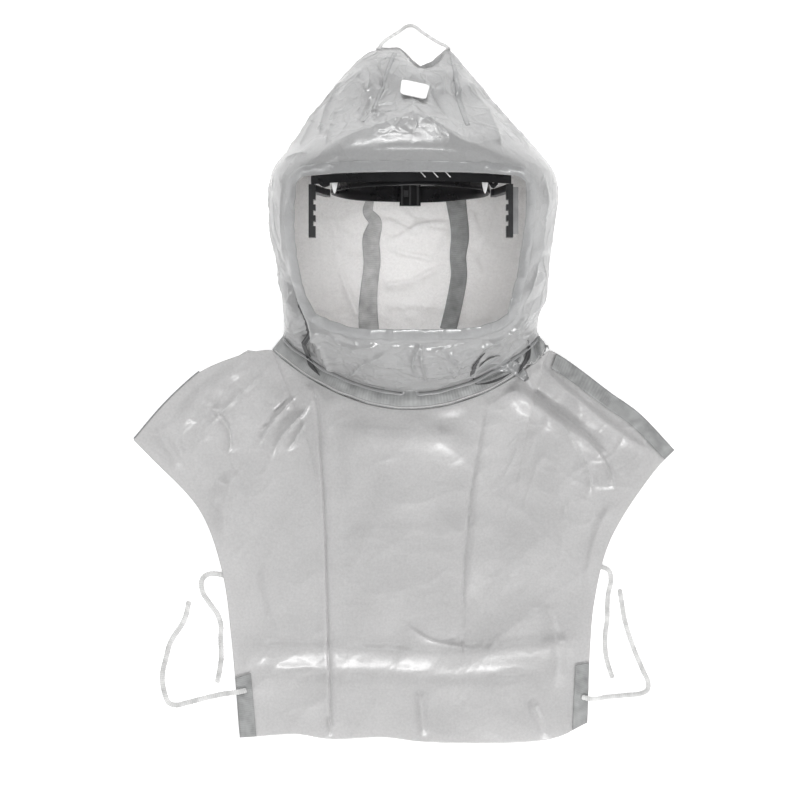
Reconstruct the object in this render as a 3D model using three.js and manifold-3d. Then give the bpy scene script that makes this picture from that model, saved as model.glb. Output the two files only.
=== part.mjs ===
// A respirator hood laid out on its back, visor up, with its bib spread flat below it.
// Millimetres, +Z up. X runs across the shoulders, +Y from the hem to the crown.
// The part rests on Z = 0, and its origin is the bottom centre of its bounding box.

import * as THREE from "three";
import { mergeVertices } from "three/addons/utils/BufferGeometryUtils.js";
import Module from "manifold-3d";

const wasm = await Module();
wasm.setup();

// Cloth and clearances
const fabric = 1.5;
const tapeThickness = 0.9;
const seamGap = 0.4;
const layGap = 0.7;

// Hood: across, from the back of the neck to the crown, and from the floor to the brow
const hoodWidth = 304;
const hoodLength = 300;
const hoodDepth = 240;
const neckBack = 70;
const chinDrop = 60;
const waistShare = 0.34;
const backFlatness = 3.2;

// Window and visor
const windowWidth = 238;
const windowHeight = 152;
const windowRise = 4;
const windowCorner = 13;
const bindingWidth = 10;
const bindingThickness = 1.2;
const visorThickness = 1;
const visorLap = 6;
const visorGap = 1.45;

// Seams of the centre panel
const backSeamWidth = 90;
const browSeamWidth = 132;
const crownSeamWidth = 58;
const crownSeamShift = 14;
const seamTapeWidth = 15;
const crownSag = 20;

// Head suspension
const ringWidth = 167;
const ringHeadroom = 48;
const ringDepth = hoodDepth - ringHeadroom;
const ringFloor = 14;
const bandThickness = 2.4;
const browBandHeight = 21;
const napeStrapHeight = 18;
const suspensionRise = 146;
const buckleWidth = 23;
const buckleHeight = 27;
const buckleThickness = 7;
const frameWidth = 9;
const frameThickness = 4;
const frameSpan = 208;
const frameGap = 1.6;
const studWidth = 5;
const bracketLength = 50;
const bracketWidth = 7;
const bracketDepth = 13;
const bracketNotch = 2.4;
const bracketOverlap = 4;
const linkWidth = 7;
const crownStrapWidth = 18;
const crownStrapThickness = 1.6;
const crownStrapRise = 84;

// Collar and bib
const collarTapeWidth = 18;
const collarDrop = 8;
const collarGap = 1.8;
const bibWidth = 594;
const bibLength = 376;
const bibRest = 5.4;
const bibSpread = 95;
const backInset = 9;
const shoulderTapeWidth = 16;
const patchWidth = 19;
const patchLength = 66;

// Label, ties and loop
const labelWidth = 26;
const labelHeight = 21;
const labelThickness = 0.8;
const labelCorner = 3.5;
const tieWidth = 6;
const tieThickness = 0.9;
const loopWidth = 4;
const loopThickness = 1.2;

// Cross-sections of the hood, from the neck rim to the crown. along is a share of hoodLength,
// left and right of half the width, low and high of the depth, drop of chinDrop, and full is
// how square the front of the section is.
const hoodSections = [
  { along: 0, left: 0.91, right: 0.92, low: 0, high: 0.14, drop: 1, full: 2.3 },
  { along: 0.003, left: 0.91, right: 0.92, low: 0, high: 0.26, drop: 0.97, full: 2.3 },
  { along: 0.008, left: 0.9, right: 0.91, low: 0, high: 0.41, drop: 0.8, full: 2.3 },
  { along: 0.016, left: 0.89, right: 0.9, low: 0, high: 0.54, drop: 0.53, full: 2.4 },
  { along: 0.034, left: 0.885, right: 0.9, low: 0, high: 0.65, drop: 0.23, full: 2.5 },
  { along: 0.07, left: 0.89, right: 0.91, low: 0, high: 0.71, drop: 0.06, full: 2.6 },
  { along: 0.13, left: 0.905, right: 0.945, low: 0, high: 0.76, drop: 0, full: 2.6 },
  { along: 0.25, left: 0.94, right: 0.975, low: 0, high: 0.84, drop: 0, full: 2.6 },
  { along: 0.365, left: 0.985, right: 1.005, low: 0, high: 0.915, drop: 0, full: 2.6 },
  { along: 0.463, left: 0.985, right: 1.02, low: 0, high: 0.965, drop: 0, full: 2.6 },
  { along: 0.537, left: 0.974, right: 1.013, low: 0, high: 0.99, drop: 0, full: 2.6 },
  { along: 0.587, left: 0.938, right: 0.967, low: 0, high: 0.985, drop: 0, full: 2.5 },
  { along: 0.65, left: 0.842, right: 0.866, low: 0, high: 0.93, drop: 0, full: 2.4 },
  { along: 0.715, left: 0.762, right: 0.762, low: 0, high: 0.855, drop: 0, full: 2.2 },
  { along: 0.783, left: 0.678, right: 0.651, low: 0.005, high: 0.77, drop: 0, full: 2.1 },
  { along: 0.857, left: 0.572, right: 0.533, low: 0.06, high: 0.68, drop: 0, full: 2.1 },
  { along: 0.917, left: 0.47, right: 0.43, low: 0.15, high: 0.59, drop: 0, full: 2.1 },
  { along: 0.96, left: 0.385, right: 0.355, low: 0.24, high: 0.51, drop: 0, full: 2.2 },
  { along: 0.989, left: 0.31, right: 0.31, low: 0.31, high: 0.44, drop: 0, full: 2.3 },
  { along: 1, left: 0.24, right: 0.28, low: 0.345, high: 0.405, drop: 0, full: 2.4 },
];
const hoodRows = 21;
const hoodColumns = 36;

// Edges of the window from its bottom to its top, as shares of its height and half its width.
const windowEdges = [
  { up: 0, left: 0.5, right: 0.55 },
  { up: 0.05, left: 0.7, right: 0.76 },
  { up: 0.1, left: 0.83, right: 0.84 },
  { up: 0.2, left: 0.9, right: 0.875 },
  { up: 0.38, left: 0.965, right: 0.925 },
  { up: 0.6, left: 1, right: 0.965 },
  { up: 0.8, left: 0.995, right: 0.985 },
  { up: 1, left: 0.975, right: 0.985 },
];

// Large folds of the hood's upper side. Ends across and along are shares of half the hood's
// width and of its length, width a share of its width, and rise a share of its depth.
const hoodFolds = [
  { fromX: -0.5, fromY: 0.64, toX: -0.08, toY: 0.76, width: 0.045, rise: 0.04 },
  { fromX: 0.02, fromY: 0.73, toX: 0.58, toY: 0.63, width: 0.045, rise: 0.045 },
  { fromX: -0.5, fromY: 0.69, toX: -0.05, toY: 0.83, width: 0.04, rise: -0.05 },
  { fromX: -0.62, fromY: 0.7, toX: -0.4, toY: 0.93, width: 0.035, rise: 0.035 },
  { fromX: 0.5, fromY: 0.68, toX: 0.38, toY: 0.92, width: 0.035, rise: 0.035 },
  { fromX: -0.9, fromY: 0.1, toX: -0.6, toY: -0.08, width: 0.03, rise: -0.06 },
  { fromX: -0.45, fromY: -0.07, toX: 0.1, toY: -0.12, width: 0.03, rise: 0.035 },
  { fromX: 0.35, fromY: -0.11, toX: 0.78, toY: -0.02, width: 0.03, rise: -0.045 },
  { fromX: 0.4, fromY: -0.06, toX: 0.85, toY: 0.03, width: 0.028, rise: 0.035 },
];

// Outline of the bib, in shares of its width and its length, from the collar's lowest point.
const leftShoulder = [
  { across: -0.511, along: -0.117 },
  { across: -0.452, along: -0.009 },
  { across: -0.389, along: 0.082 },
  { across: -0.3, along: 0.176 },
];
const rightShoulder = [
  { across: 0.3, along: 0.14 },
  { across: 0.357, along: 0.04 },
  { across: 0.423, along: -0.037 },
  { across: 0.489, along: -0.146 },
];
const leftSide = [
  { across: -0.511, along: -0.117 },
  { across: -0.478, along: -0.17 },
  { across: -0.389, along: -0.322 },
  { across: -0.348, along: -0.497 },
  { across: -0.33, along: -0.7 },
  { across: -0.315, along: -0.986 },
];
const rightSide = [
  { across: 0.489, along: -0.146 },
  { across: 0.453, along: -0.205 },
  { across: 0.37, along: -0.41 },
  { across: 0.341, along: -0.585 },
  { across: 0.333, along: -0.72 },
  { across: 0.328, along: -0.942 },
];
const hem = [
  { across: -0.315, along: -0.986 },
  { across: -0.21, along: -0.976 },
  { across: -0.148, along: -0.99 },
  { across: -0.05, along: -0.985 },
  { across: 0.02, along: -0.997 },
  { across: 0.18, along: -1 },
  { across: 0.27, along: -0.985 },
  { across: 0.328, along: -0.942 },
];
const neckStart = 0.27;
const neckEnd = 0.73;
const bibColumns = 25;
const bibRows = 16;

// Folds of the bib: ends are shares of its width and length, width and rise are millimetres'
// worth of shares of bibWidth and of neckRise.
const bibFolds = [
  { fromX: -0.165, fromY: 0.03, toX: -0.145, toY: -0.95, width: 0.018, rise: -0.09 },
  { fromX: -0.14, fromY: 0.03, toX: -0.12, toY: -0.95, width: 0.02, rise: 0.06 },
  { fromX: 0.14, fromY: -0.02, toX: 0.105, toY: -0.6, width: 0.018, rise: -0.09 },
  { fromX: 0.18, fromY: 0.07, toX: 0.36, toY: -0.15, width: 0.02, rise: 0.3 },
  { fromX: 0.1, fromY: -0.08, toX: 0.4, toY: -0.3, width: 0.022, rise: 0.16 },
  { fromX: -0.18, fromY: -0.03, toX: -0.34, toY: -0.12, width: 0.016, rise: 0.2 },
  { fromX: -0.18, fromY: -0.1, toX: -0.3, toY: -0.17, width: 0.016, rise: 0.16 },
  { fromX: -0.22, fromY: 0.1, toX: -0.42, toY: -0.03, width: 0.02, rise: 0.22 },
  { fromX: -0.3, fromY: -0.83, toX: 0.3, toY: -0.8, width: 0.03, rise: 0.1 },
];

const coatedGrey = new THREE.MeshStandardMaterial({ color: 0xb4b7b6, roughness: 0.42, metalness: 0 });
const bibGrey = new THREE.MeshStandardMaterial({ color: 0xbcbcbb, roughness: 0.5, metalness: 0 });
const tapeGrey = new THREE.MeshStandardMaterial({ color: 0x8a8d8c, roughness: 0.6, metalness: 0 });
const bindingGrey = new THREE.MeshStandardMaterial({ color: 0xa9acab, roughness: 0.4, metalness: 0 });
const clearPlastic = new THREE.MeshStandardMaterial({
  color: 0xe8eceb,
  roughness: 0.08,
  metalness: 0,
  transparent: true,
  opacity: 0.25,
});
const blackPlastic = new THREE.MeshStandardMaterial({ color: 0x1c1c1e, roughness: 0.4, metalness: 0 });
const darkGreyPlastic = new THREE.MeshStandardMaterial({ color: 0x4e4e50, roughness: 0.5, metalness: 0 });
const whiteRibbon = new THREE.MeshStandardMaterial({ color: 0xefefec, roughness: 0.7, metalness: 0 });

const point = (x, y, z) => new THREE.Vector3(x, y, z);
const clamp = THREE.MathUtils.clamp;
const mix = THREE.MathUtils.lerp;
const smooth = THREE.MathUtils.smoothstep;

// A smooth reading of a table at a share t of its rows.
function readTable(rows, t) {
  const place = clamp(t, 0, 1) * (rows.length - 1);
  const i = Math.min(Math.floor(place), rows.length - 2);
  const f = place - i;
  const before = rows[Math.max(i - 1, 0)];
  const from = rows[i];
  const to = rows[i + 1];
  const after = rows[Math.min(i + 2, rows.length - 1)];
  const read = {};
  for (const key of Object.keys(from)) {
    const bendIn = (to[key] - before[key]) / 2;
    const bendOut = (after[key] - from[key]) / 2;
    read[key] =
      (2 * f ** 3 - 3 * f ** 2 + 1) * from[key] +
      (f ** 3 - 2 * f ** 2 + f) * bendIn +
      (3 * f ** 2 - 2 * f ** 3) * to[key] +
      (f ** 3 - f ** 2) * bendOut;
  }
  return read;
}

// The height that a set of folds adds at a point seen from above.
function foldHeight(folds, x, y, scaleX, scaleY, widthScale, riseScale) {
  let height = 0;
  for (const fold of folds) {
    const from = new THREE.Vector2(fold.fromX * scaleX, fold.fromY * scaleY);
    const to = new THREE.Vector2(fold.toX * scaleX, fold.toY * scaleY);
    const run = to.clone().sub(from);
    const t = clamp(new THREE.Vector2(x, y).sub(from).dot(run) / run.lengthSq(), 0, 1);
    const off = Math.hypot(x - mix(from.x, to.x, t), y - mix(from.y, to.y, t)) / (fold.width * widthScale);
    height += fold.rise * riseScale * Math.exp(-off * off) * Math.sin(Math.PI * mix(0.18, 0.82, t));
  }
  return height;
}

// The hood's outer surface. turn runs round a section from its right side over the front,
// share from the neck rim to the crown.
const halfWidth = hoodWidth / 2;
const crownY = neckBack + hoodLength;

function crownDip(x, share) {
  const across = (x - crownSeamShift) / (crownSeamWidth / 2);
  return Math.abs(across) < 1 ? crownSag * Math.cos((Math.PI / 2) * across) ** 2 * smooth(share, 0.8, 1) : 0;
}

function hoodPoint(turn, share) {
  const s = readTable(hoodSections, share);
  const low = Math.max(s.low, 0) * hoodDepth;
  const high = s.high * hoodDepth;
  const waist = mix(low, high, waistShare);
  const cos = Math.cos(turn);
  const sin = Math.sin(turn);
  const front = sin > 0;
  const power = 2 / (front ? s.full : backFlatness);
  const side = (cos < 0 ? s.left : s.right) * halfWidth;
  const x = Math.sign(cos) * side * Math.abs(cos) ** power;
  const height = Math.abs(sin) ** power;
  const z = front ? waist + (high - waist) * height : waist - (waist - low) * height;
  const drop = front ? s.drop * chinDrop * (1 - (x / side) ** 2) : 0;
  return point(x, neckBack + s.along * hoodLength - drop - crownDip(x, share), z);
}

function hoodNormal(turn, share) {
  const step = 0.004;
  const round = hoodPoint(turn + step, share).sub(hoodPoint(turn - step, share));
  const up = hoodPoint(turn, Math.min(share + step, 1)).sub(hoodPoint(turn, Math.max(share - step, 0)));
  const normal = round.cross(up).normalize();
  const s = hoodPoint(turn, share);
  return normal.dot(point(s.x, 0, s.z - (waistShare * hoodDepth) / 2)) < 0 ? normal.negate() : normal;
}

// Where the front or the back of the hood lies over a point of the plan.
function planPlace(x, y, onBack) {
  let below = 0;
  let above = 1;
  let turn = Math.PI / 2;
  for (let i = 0; i < 26; i += 1) {
    const share = (below + above) / 2;
    const s = readTable(hoodSections, share);
    const side = (x < 0 ? s.left : s.right) * halfWidth;
    const out = clamp(Math.abs(x) / side, 0, 1);
    turn = Math.acos(Math.sign(x) * out ** ((onBack ? backFlatness : s.full) / 2));
    if (onBack) turn = -turn;
    if (hoodPoint(turn, share).y < y) below = share;
    else above = share;
  }
  return { turn, share: (below + above) / 2 };
}

// The surface with its large folds, which fade towards the window's binding.
function foldedPoint(turn, share) {
  const p = hoodPoint(turn, share);
  if (Math.sin(turn) <= 0) return p;
  const rise = foldHeight(hoodFolds, p.x, p.y - neckBack, halfWidth, hoodLength, hoodWidth, hoodDepth);
  const edge = windowOutline(visorLap);
  const off = inOutline(edge, p) ? 0 : Math.min(...edge.map((q) => Math.hypot(p.x - q.x, p.y - q.y)));
  const room = Math.min(1, Math.sin(turn) * 2) * smooth(share, 0, 0.06) * (1 - smooth(share, 0.9, 0.96));
  return p.add(point(0, 0, rise * room * smooth(off, bindingWidth, 2.5 * bindingWidth)));
}

function onHood(x, y, outwards, onBack) {
  const { turn, share } = planPlace(x, y, onBack);
  return foldedPoint(turn, share).addScaledVector(hoodNormal(turn, share), outwards);
}

const onFront = (x, y, outwards) => onHood(x, y, outwards, false);
const onBackWall = (x, y, outwards) => onHood(x, y, outwards, true);

// Solids

function geometryFrom(points, faces) {
  const flat = points.flatMap((p) => [p.x, p.y, p.z]);
  const volume = faces.reduce((sum, [a, b, c]) => {
    return sum + points[a].dot(points[b].clone().cross(points[c]));
  }, 0);
  const order = volume < 0 ? faces.map(([a, b, c]) => [a, c, b]) : faces;
  const geometry = new THREE.BufferGeometry();
  geometry.setAttribute("position", new THREE.Float32BufferAttribute(flat, 3));
  geometry.setIndex(order.flat());
  return geometry;
}

// Closes two matching grids, one for each side of a cloth, into one thin solid.
function clothSolid(front, back, { ring = false } = {}) {
  const rows = front.length;
  const columns = front[0].length;
  const points = [...front.flat(), ...back.flat()];
  const other = rows * columns;
  const at = (i, j) => i * columns + (j % columns);
  const faces = [];
  const quad = (a, b, c, d) => faces.push([a, b, c], [a, c, d]);
  const across = ring ? columns : columns - 1;
  for (let i = 0; i < rows - 1; i += 1) {
    for (let j = 0; j < across; j += 1) {
      quad(at(i, j), at(i, j + 1), at(i + 1, j + 1), at(i + 1, j));
      quad(other + at(i, j), other + at(i + 1, j), other + at(i + 1, j + 1), other + at(i, j + 1));
    }
    if (!ring) {
      quad(at(i, 0), at(i + 1, 0), other + at(i + 1, 0), other + at(i, 0));
      quad(at(i + 1, columns - 1), at(i, columns - 1), other + at(i, columns - 1), other + at(i + 1, columns - 1));
    }
  }
  for (let j = 0; j < across; j += 1) {
    quad(at(0, j + 1), at(0, j), other + at(0, j), other + at(0, j + 1));
    quad(at(rows - 1, j), at(rows - 1, j + 1), other + at(rows - 1, j + 1), other + at(rows - 1, j));
  }
  return geometryFrom(points, faces);
}

const grid = (rows, columns, place) =>
  Array.from({ length: rows }, (_, i) => Array.from({ length: columns }, (_, j) => place(i / (rows - 1), j / (columns - 1))));

function toManifold(geometry) {
  const bare = geometry.clone();
  for (const name of Object.keys(bare.attributes)) if (name !== "position") bare.deleteAttribute(name);
  const merged = mergeVertices(bare, 1e-4);
  const vertProperties = new Float32Array(merged.attributes.position.array);
  const triVerts = new Uint32Array(merged.index.array);
  return new wasm.Manifold(new wasm.Mesh({ numProp: 3, vertProperties, triVerts }));
}

function fromManifold(solid) {
  const mesh = solid.getMesh();
  const geometry = new THREE.BufferGeometry();
  geometry.setAttribute("position", new THREE.Float32BufferAttribute(mesh.vertProperties, 3));
  geometry.setIndex([...mesh.triVerts]);
  return geometry;
}

const join = (...geometries) => fromManifold(geometries.map(toManifold).reduce((sum, next) => sum.add(next)));

// A flat outline pushed up from a height.
function plate(outline, from, thickness) {
  const shape = new THREE.Shape(outline.map((p) => new THREE.Vector2(p.x, p.y)));
  return new THREE.ExtrudeGeometry(shape, { depth: thickness, bevelEnabled: false }).translate(0, 0, from);
}

function box(low, high) {
  const size = high.clone().sub(low);
  const centre = high.clone().add(low).multiplyScalar(0.5);
  return new THREE.BoxGeometry(size.x, size.y, size.z).translate(centre.x, centre.y, centre.z);
}

const named = (name, geometry, material) => {
  const mesh = new THREE.Mesh(geometry, material);
  mesh.name = name;
  return mesh;
};

// The hood's wall: a bag that is open at the neck and closed along the crown.
function hoodWall() {
  const outer = [];
  const inner = [];
  for (let i = 0; i <= hoodRows; i += 1) {
    const share = i / hoodRows;
    const turns = Array.from({ length: hoodColumns }, (_, j) => (2 * Math.PI * j) / hoodColumns);
    outer.push(turns.map((turn) => foldedPoint(turn, share)));
    if (i < hoodRows) {
      inner.push(turns.map((turn) => foldedPoint(turn, share).addScaledVector(hoodNormal(turn, share), -fabric)));
    }
  }
  const points = [...outer.flat(), ...inner.flat()];
  const innerStart = outer.length * hoodColumns;
  const at = (i, j) => i * hoodColumns + ((j + hoodColumns) % hoodColumns);
  const faces = [];
  const quad = (a, b, c, d) => faces.push([a, b, c], [a, c, d]);
  for (let j = 0; j < hoodColumns; j += 1) {
    for (let i = 0; i < hoodRows; i += 1) quad(at(i, j), at(i, j + 1), at(i + 1, j + 1), at(i + 1, j));
    for (let i = 0; i < hoodRows - 1; i += 1) {
      quad(innerStart + at(i, j + 1), innerStart + at(i, j), innerStart + at(i + 1, j), innerStart + at(i + 1, j + 1));
    }
    quad(at(0, j + 1), at(0, j), innerStart + at(0, j), innerStart + at(0, j + 1));
  }
  const cap = (start, row, flip) => {
    for (let j = 0; j < hoodColumns / 2; j += 1) {
      const corners = [at(row, j), at(row, j + 1), at(row, -j - 1), at(row, -j)].map((k) => start + k);
      const [a, b, c, d] = flip ? corners.reverse() : corners;
      if (j > 0 && j < hoodColumns / 2 - 1) quad(a, b, c, d);
      else if (j === 0) faces.push(flip ? [corners[3], corners[1], corners[2]] : [a, b, c]);
      else faces.push(flip ? [corners[0], corners[2], corners[3]] : [a, b, d]);
    }
  };
  cap(0, hoodRows, false);
  cap(innerStart, hoodRows - 1, true);
  return geometryFrom(points, faces);
}

// The window's outline in plan, grown outwards by some margin.
const windowBottom = neckBack + windowRise;
const windowTop = windowBottom + windowHeight;

function windowOutline(margin) {
  const steps = 40;
  const side = (key, sign) =>
    Array.from({ length: steps + 1 }, (_, i) => {
      const up = i / steps;
      const place = windowEdges.findIndex((row) => row.up >= up);
      const to = windowEdges[Math.max(place, 1)];
      const from = windowEdges[Math.max(place, 1) - 1];
      const share = (up - from.up) / (to.up - from.up);
      return new THREE.Vector2((sign * mix(from[key], to[key], share) * windowWidth) / 2, windowBottom + up * windowHeight);
    });
  const corners = [...side("right", 1), ...side("left", -1).reverse()];
  const curve = new THREE.CatmullRomCurve3(roundedTop(corners).map((p) => point(p.x, p.y, 0)), true, "centripetal");
  const count = 56;
  return Array.from({ length: count }, (_, i) => {
    const p = curve.getPointAt(i / count);
    const t = curve.getTangentAt(i / count);
    return point(p.x + t.y * margin, p.y - t.x * margin, 0);
  });
}

function inOutline(outline, p) {
  const crossings = outline.filter((a, i) => {
    const b = outline[(i + 1) % outline.length];
    return a.y > p.y !== b.y > p.y && p.x < mix(a.x, b.x, (p.y - a.y) / (b.y - a.y));
  });
  return crossings.length % 2 === 1;
}

// The two upper corners of the outline as quarter rounds.
function roundedTop(outline) {
  const top = windowTop - windowCorner;
  const kept = outline.filter((p) => p.y <= top);
  const right = kept.filter((p) => p.x > 0);
  const left = kept.filter((p) => p.x <= 0);
  const arc = (edge, from, to) =>
    Array.from({ length: 4 }, (_, i) => {
      const angle = mix(from, to, (i + 1) / 4);
      const centreX = edge - Math.sign(edge) * windowCorner;
      return new THREE.Vector2(centreX + windowCorner * Math.cos(angle), top + windowCorner * Math.sin(angle));
    });
  const rightEdge = right[right.length - 1].x;
  const leftEdge = left[0].x;
  return [...right, ...arc(rightEdge, 0, Math.PI / 2), ...arc(leftEdge, Math.PI / 2, Math.PI).slice(0, -1), ...left];
}

// The region of the hood that belongs to the centre panel: the strip between the two seams.
function seamX(side, y, onBack) {
  const up = clamp((y - neckBack) / hoodLength, 0, 1);
  const start = onBack ? backSeamWidth : browSeamWidth;
  const startUp = onBack ? 0 : (windowTop - neckBack) / hoodLength;
  const share = clamp((up - startUp) / (1 - startUp), 0, 1);
  return mix((side * start) / 2, crownSeamShift + (side * crownSeamWidth) / 2, share);
}

function centreRegion(grow) {
  const beyond = 40;
  const split = (y) => mix(0.3, 0.25, clamp((y - neckBack) / hoodLength, 0, 1)) * hoodDepth;
  const block = (fromY, onBack) => {
    const rows = [fromY, mix(fromY, crownY, 0.5), crownY, crownY + beyond];
    const levels = (y) => (onBack ? [-beyond, split(y) + 1] : [split(y) - 1, hoodDepth + beyond]);
    const front = rows.map((y) => [-1, 1].map((side) => point(seamX(side, y, onBack) + side * grow, y, levels(y)[1])));
    const back = rows.map((y) => [-1, 1].map((side) => point(seamX(side, y, onBack) + side * grow, y, levels(y)[0])));
    return clothSolid(front, back);
  };
  return toManifold(block(neckBack - beyond, true)).add(toManifold(block(windowTop - 1, false)));
}

const bag = toManifold(hoodWall());
const windowCut = toManifold(plate(windowOutline(0), waistShare * hoodDepth, hoodDepth));
const openBag = bag.subtract(windowCut);
const hoodFront = fromManifold(openBag.subtract(centreRegion(seamGap / 2)));
const hoodCentre = fromManifold(openBag.intersect(centreRegion(-seamGap / 2)));

// Visor: a clear sheet under the cloth, lapping the window all round.
function visorSolid() {
  const outline = windowOutline(visorLap);
  const lowest = Math.min(...outline.map((p) => p.y));
  const highest = Math.max(...outline.map((p) => p.y));
  const edgeAt = (y, side) => {
    const reach = outline.map((p, i) => [p, outline[(i + 1) % outline.length]]);
    const crossings = reach
      .filter(([a, b]) => (a.y - y) * (b.y - y) <= 0 && a.y !== b.y)
      .map(([a, b]) => mix(a.x, b.x, (y - a.y) / (b.y - a.y)));
    return side < 0 ? Math.min(...crossings) : Math.max(...crossings);
  };
  const rows = 15;
  const columns = 20;
  const end = 0.6;
  const place = (outwards) => (t, s) => {
    const y = mix(lowest + end, highest - end, 1 - (1 - t) ** 1.6);
    return onFront(mix(edgeAt(y, -1), edgeAt(y, 1), s), y, outwards);
  };
  const outside = -(fabric + visorGap);
  return clothSolid(grid(rows, columns, place(outside)), grid(rows, columns, place(outside - visorThickness)));
}

// Binding: a flat band on the cloth round the window's edge.
function bindingSolid() {
  const inside = windowOutline(0.5);
  const middle = windowOutline(bindingWidth / 2);
  const outside = windowOutline(bindingWidth);
  const band = (outwards) => [inside, middle, outside].map((line) => line.map((p) => onFront(p.x, p.y, outwards)));
  return clothSolid(band(layGap + bindingThickness), band(layGap), { ring: true });
}

// A label that follows the centre panel above the brow.
function labelSolid() {
  const centreX = 4;
  const centreY = neckBack + 0.825 * hoodLength;
  const radius = labelCorner;
  const place = (outwards) => (t, s) => {
    const y = mix(-labelHeight / 2, labelHeight / 2, t);
    const inCorner = Math.max(0, Math.abs(y) - (labelHeight / 2 - radius));
    const half = labelWidth / 2 - radius + Math.sqrt(Math.max(radius ** 2 - inCorner ** 2, 0.01));
    const x = mix(-half, half, s);
    return onFront(centreX + x, centreY + y, outwards);
  };
  const from = 3 * layGap;
  return clothSolid(grid(7, 6, place(from + labelThickness)), grid(7, 6, place(from)));
}

// Tapes over the two seams inside the back wall.
function backTape(side) {
  const rows = 14;
  const place = (outwards) => (t, s) => {
    const y = mix(neckBack + 3, neckBack + 0.66 * hoodLength, t);
    return onBackWall(seamX(side, y, true) + mix(-0.5, 0.5, s) * seamTapeWidth, y, outwards);
  };
  const outside = -(fabric + seamGap);
  return clothSolid(grid(rows, 3, place(outside)), grid(rows, 3, place(outside - tapeThickness)));
}

// The lowest point of a solid over a rectangle of the plan.
function lowestOver(solid, fromX, fromY, toX, toY) {
  const column = toManifold(box(point(fromX, fromY, -hoodDepth), point(toX, toY, 2 * hoodDepth)));
  return solid.intersect(column).boundingBox().min[2];
}

// Suspension: a ring across the hood, in two halves, with a buckle at the nape.
const ringY = neckBack + suspensionRise;
const ringZ = ringFloor + ringDepth / 2;

function ringHalf(fromAngle, toAngle, height, thickness) {
  const steps = 22;
  const arc = (shrink) =>
    Array.from({ length: steps + 1 }, (_, i) => {
      const angle = mix(fromAngle, toAngle, i / steps);
      return [(ringWidth / 2 - shrink) * Math.cos(angle), ringZ + (ringDepth / 2 - shrink) * Math.sin(angle)];
    });
  const layer = (y) => [arc(0), arc(thickness)].map((line) => line.map(([x, z]) => point(x, y, z)));
  const [outerLow, innerLow] = layer(ringY);
  const [outerHigh, innerHigh] = layer(ringY + height);
  return clothSolid([outerLow, outerHigh], [innerLow, innerHigh]);
}

function buckleSolid() {
  const lean = buckleWidth / (ringWidth - 2 * bandThickness);
  const back = ringZ - bandThickness - (ringDepth / 2 - bandThickness) * Math.sqrt(1 - lean ** 2);
  const low = ringY - (buckleHeight - napeStrapHeight) / 2;
  const frame = box(
    point(-buckleWidth / 2, low, back + bandThickness + seamGap),
    point(buckleWidth / 2, low + buckleHeight, back + bandThickness + seamGap + buckleThickness),
  );
  const ribs = [-1, 1].map((side) =>
    box(
      point(side * (buckleWidth / 2 - 3) - 1.2, low + 1.5, back + bandThickness + buckleThickness),
      point(side * (buckleWidth / 2 - 3) + 1.2, low + buckleHeight - 1.5, back + bandThickness + buckleThickness + 2),
    ),
  );
  return join(frame, ...ribs);
}

// The bar under the visor's top edge, and the brackets that hang from its ends.
const underVisor = -(fabric + visorGap + visorThickness + frameGap);
const frameY = windowTop - frameWidth - 1;

function browFrame() {
  const columns = 21;
  const place = (outwards) => (t, s) =>
    onFront(mix(-frameSpan / 2, frameSpan / 2, s), frameY + t * frameWidth, outwards);
  const bar = toManifold(
    clothSolid(grid(3, columns, place(underVisor)), grid(3, columns, place(underVisor - frameThickness))),
  );
  const stud = (x) => {
    const low = point(x - studWidth / 2, frameY + 2, 0);
    const high = point(x + studWidth / 2, frameY + 2 + studWidth, 0);
    const seat = (solid) => lowestOver(solid, low.x, low.y, high.x, high.y);
    low.z = seat(bar) + frameThickness / 2;
    high.z = seat(visorBody) - seamGap;
    return toManifold(box(low, high));
  };
  const studs = [-0.84, -0.3, 0.3, 0.84].map((share) => stud((share * frameSpan) / 2));
  return fromManifold(studs.reduce((whole, next) => whole.add(next), bar));
}

const visorShape = visorSolid();
const visorBody = toManifold(visorShape);
const frameShape = browFrame();
const frameBody = toManifold(frameShape);

function bracket(side) {
  const x = side * (frameSpan / 2 - bracketWidth / 2);
  const top = frameY - seamGap;
  const near = x - bracketWidth / 2;
  const far = x + bracketWidth / 2;
  const underFrame = lowestOver(frameBody, near, top, far, top + bracketOverlap);
  const underLens = lowestOver(visorBody, near, top - bracketLength, far, top);
  const zHigh = Math.min(underFrame, underLens) - seamGap;
  const arm = box(
    point(near, top - bracketLength, zHigh - bracketDepth),
    point(far, top + bracketOverlap, zHigh),
  );
  const notches = [0.28, 0.5, 0.72].map((share) =>
    box(
      point(x - side * (bracketWidth / 2 - bracketNotch) - (side > 0 ? 9 : 0), top - share * bracketLength - 2.6, 0),
      point(x - side * (bracketWidth / 2 - bracketNotch) + (side > 0 ? 0 : 9), top - share * bracketLength + 2.6, hoodDepth),
    ),
  );
  const ringSide = side * (ringWidth / 2 + seamGap);
  const pivotZ = ringZ + 10;
  const outline = [
    [x - (side * bracketWidth) / 2, zHigh - bracketDepth + 6],
    [x + (side * bracketWidth) / 2, zHigh - bracketDepth + 6],
    [x + (side * bracketWidth) / 2, zHigh - bracketDepth - 8],
    [ringSide + side * 5, pivotZ - 8],
    [ringSide, pivotZ - 8],
    [ringSide, pivotZ + 8],
    [ringSide + side * 3, pivotZ + 12],
  ];
  const shape = new THREE.Shape(outline.map(([px, pz]) => new THREE.Vector2(px, pz)));
  const link = new THREE.ExtrudeGeometry(shape, { depth: linkWidth, bevelEnabled: false })
    .rotateX(Math.PI / 2)
    .translate(0, top + bracketOverlap, 0);
  const solid = toManifold(arm).add(toManifold(link));
  return fromManifold(notches.reduce((left, notch) => left.subtract(toManifold(notch)), solid));
}

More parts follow.
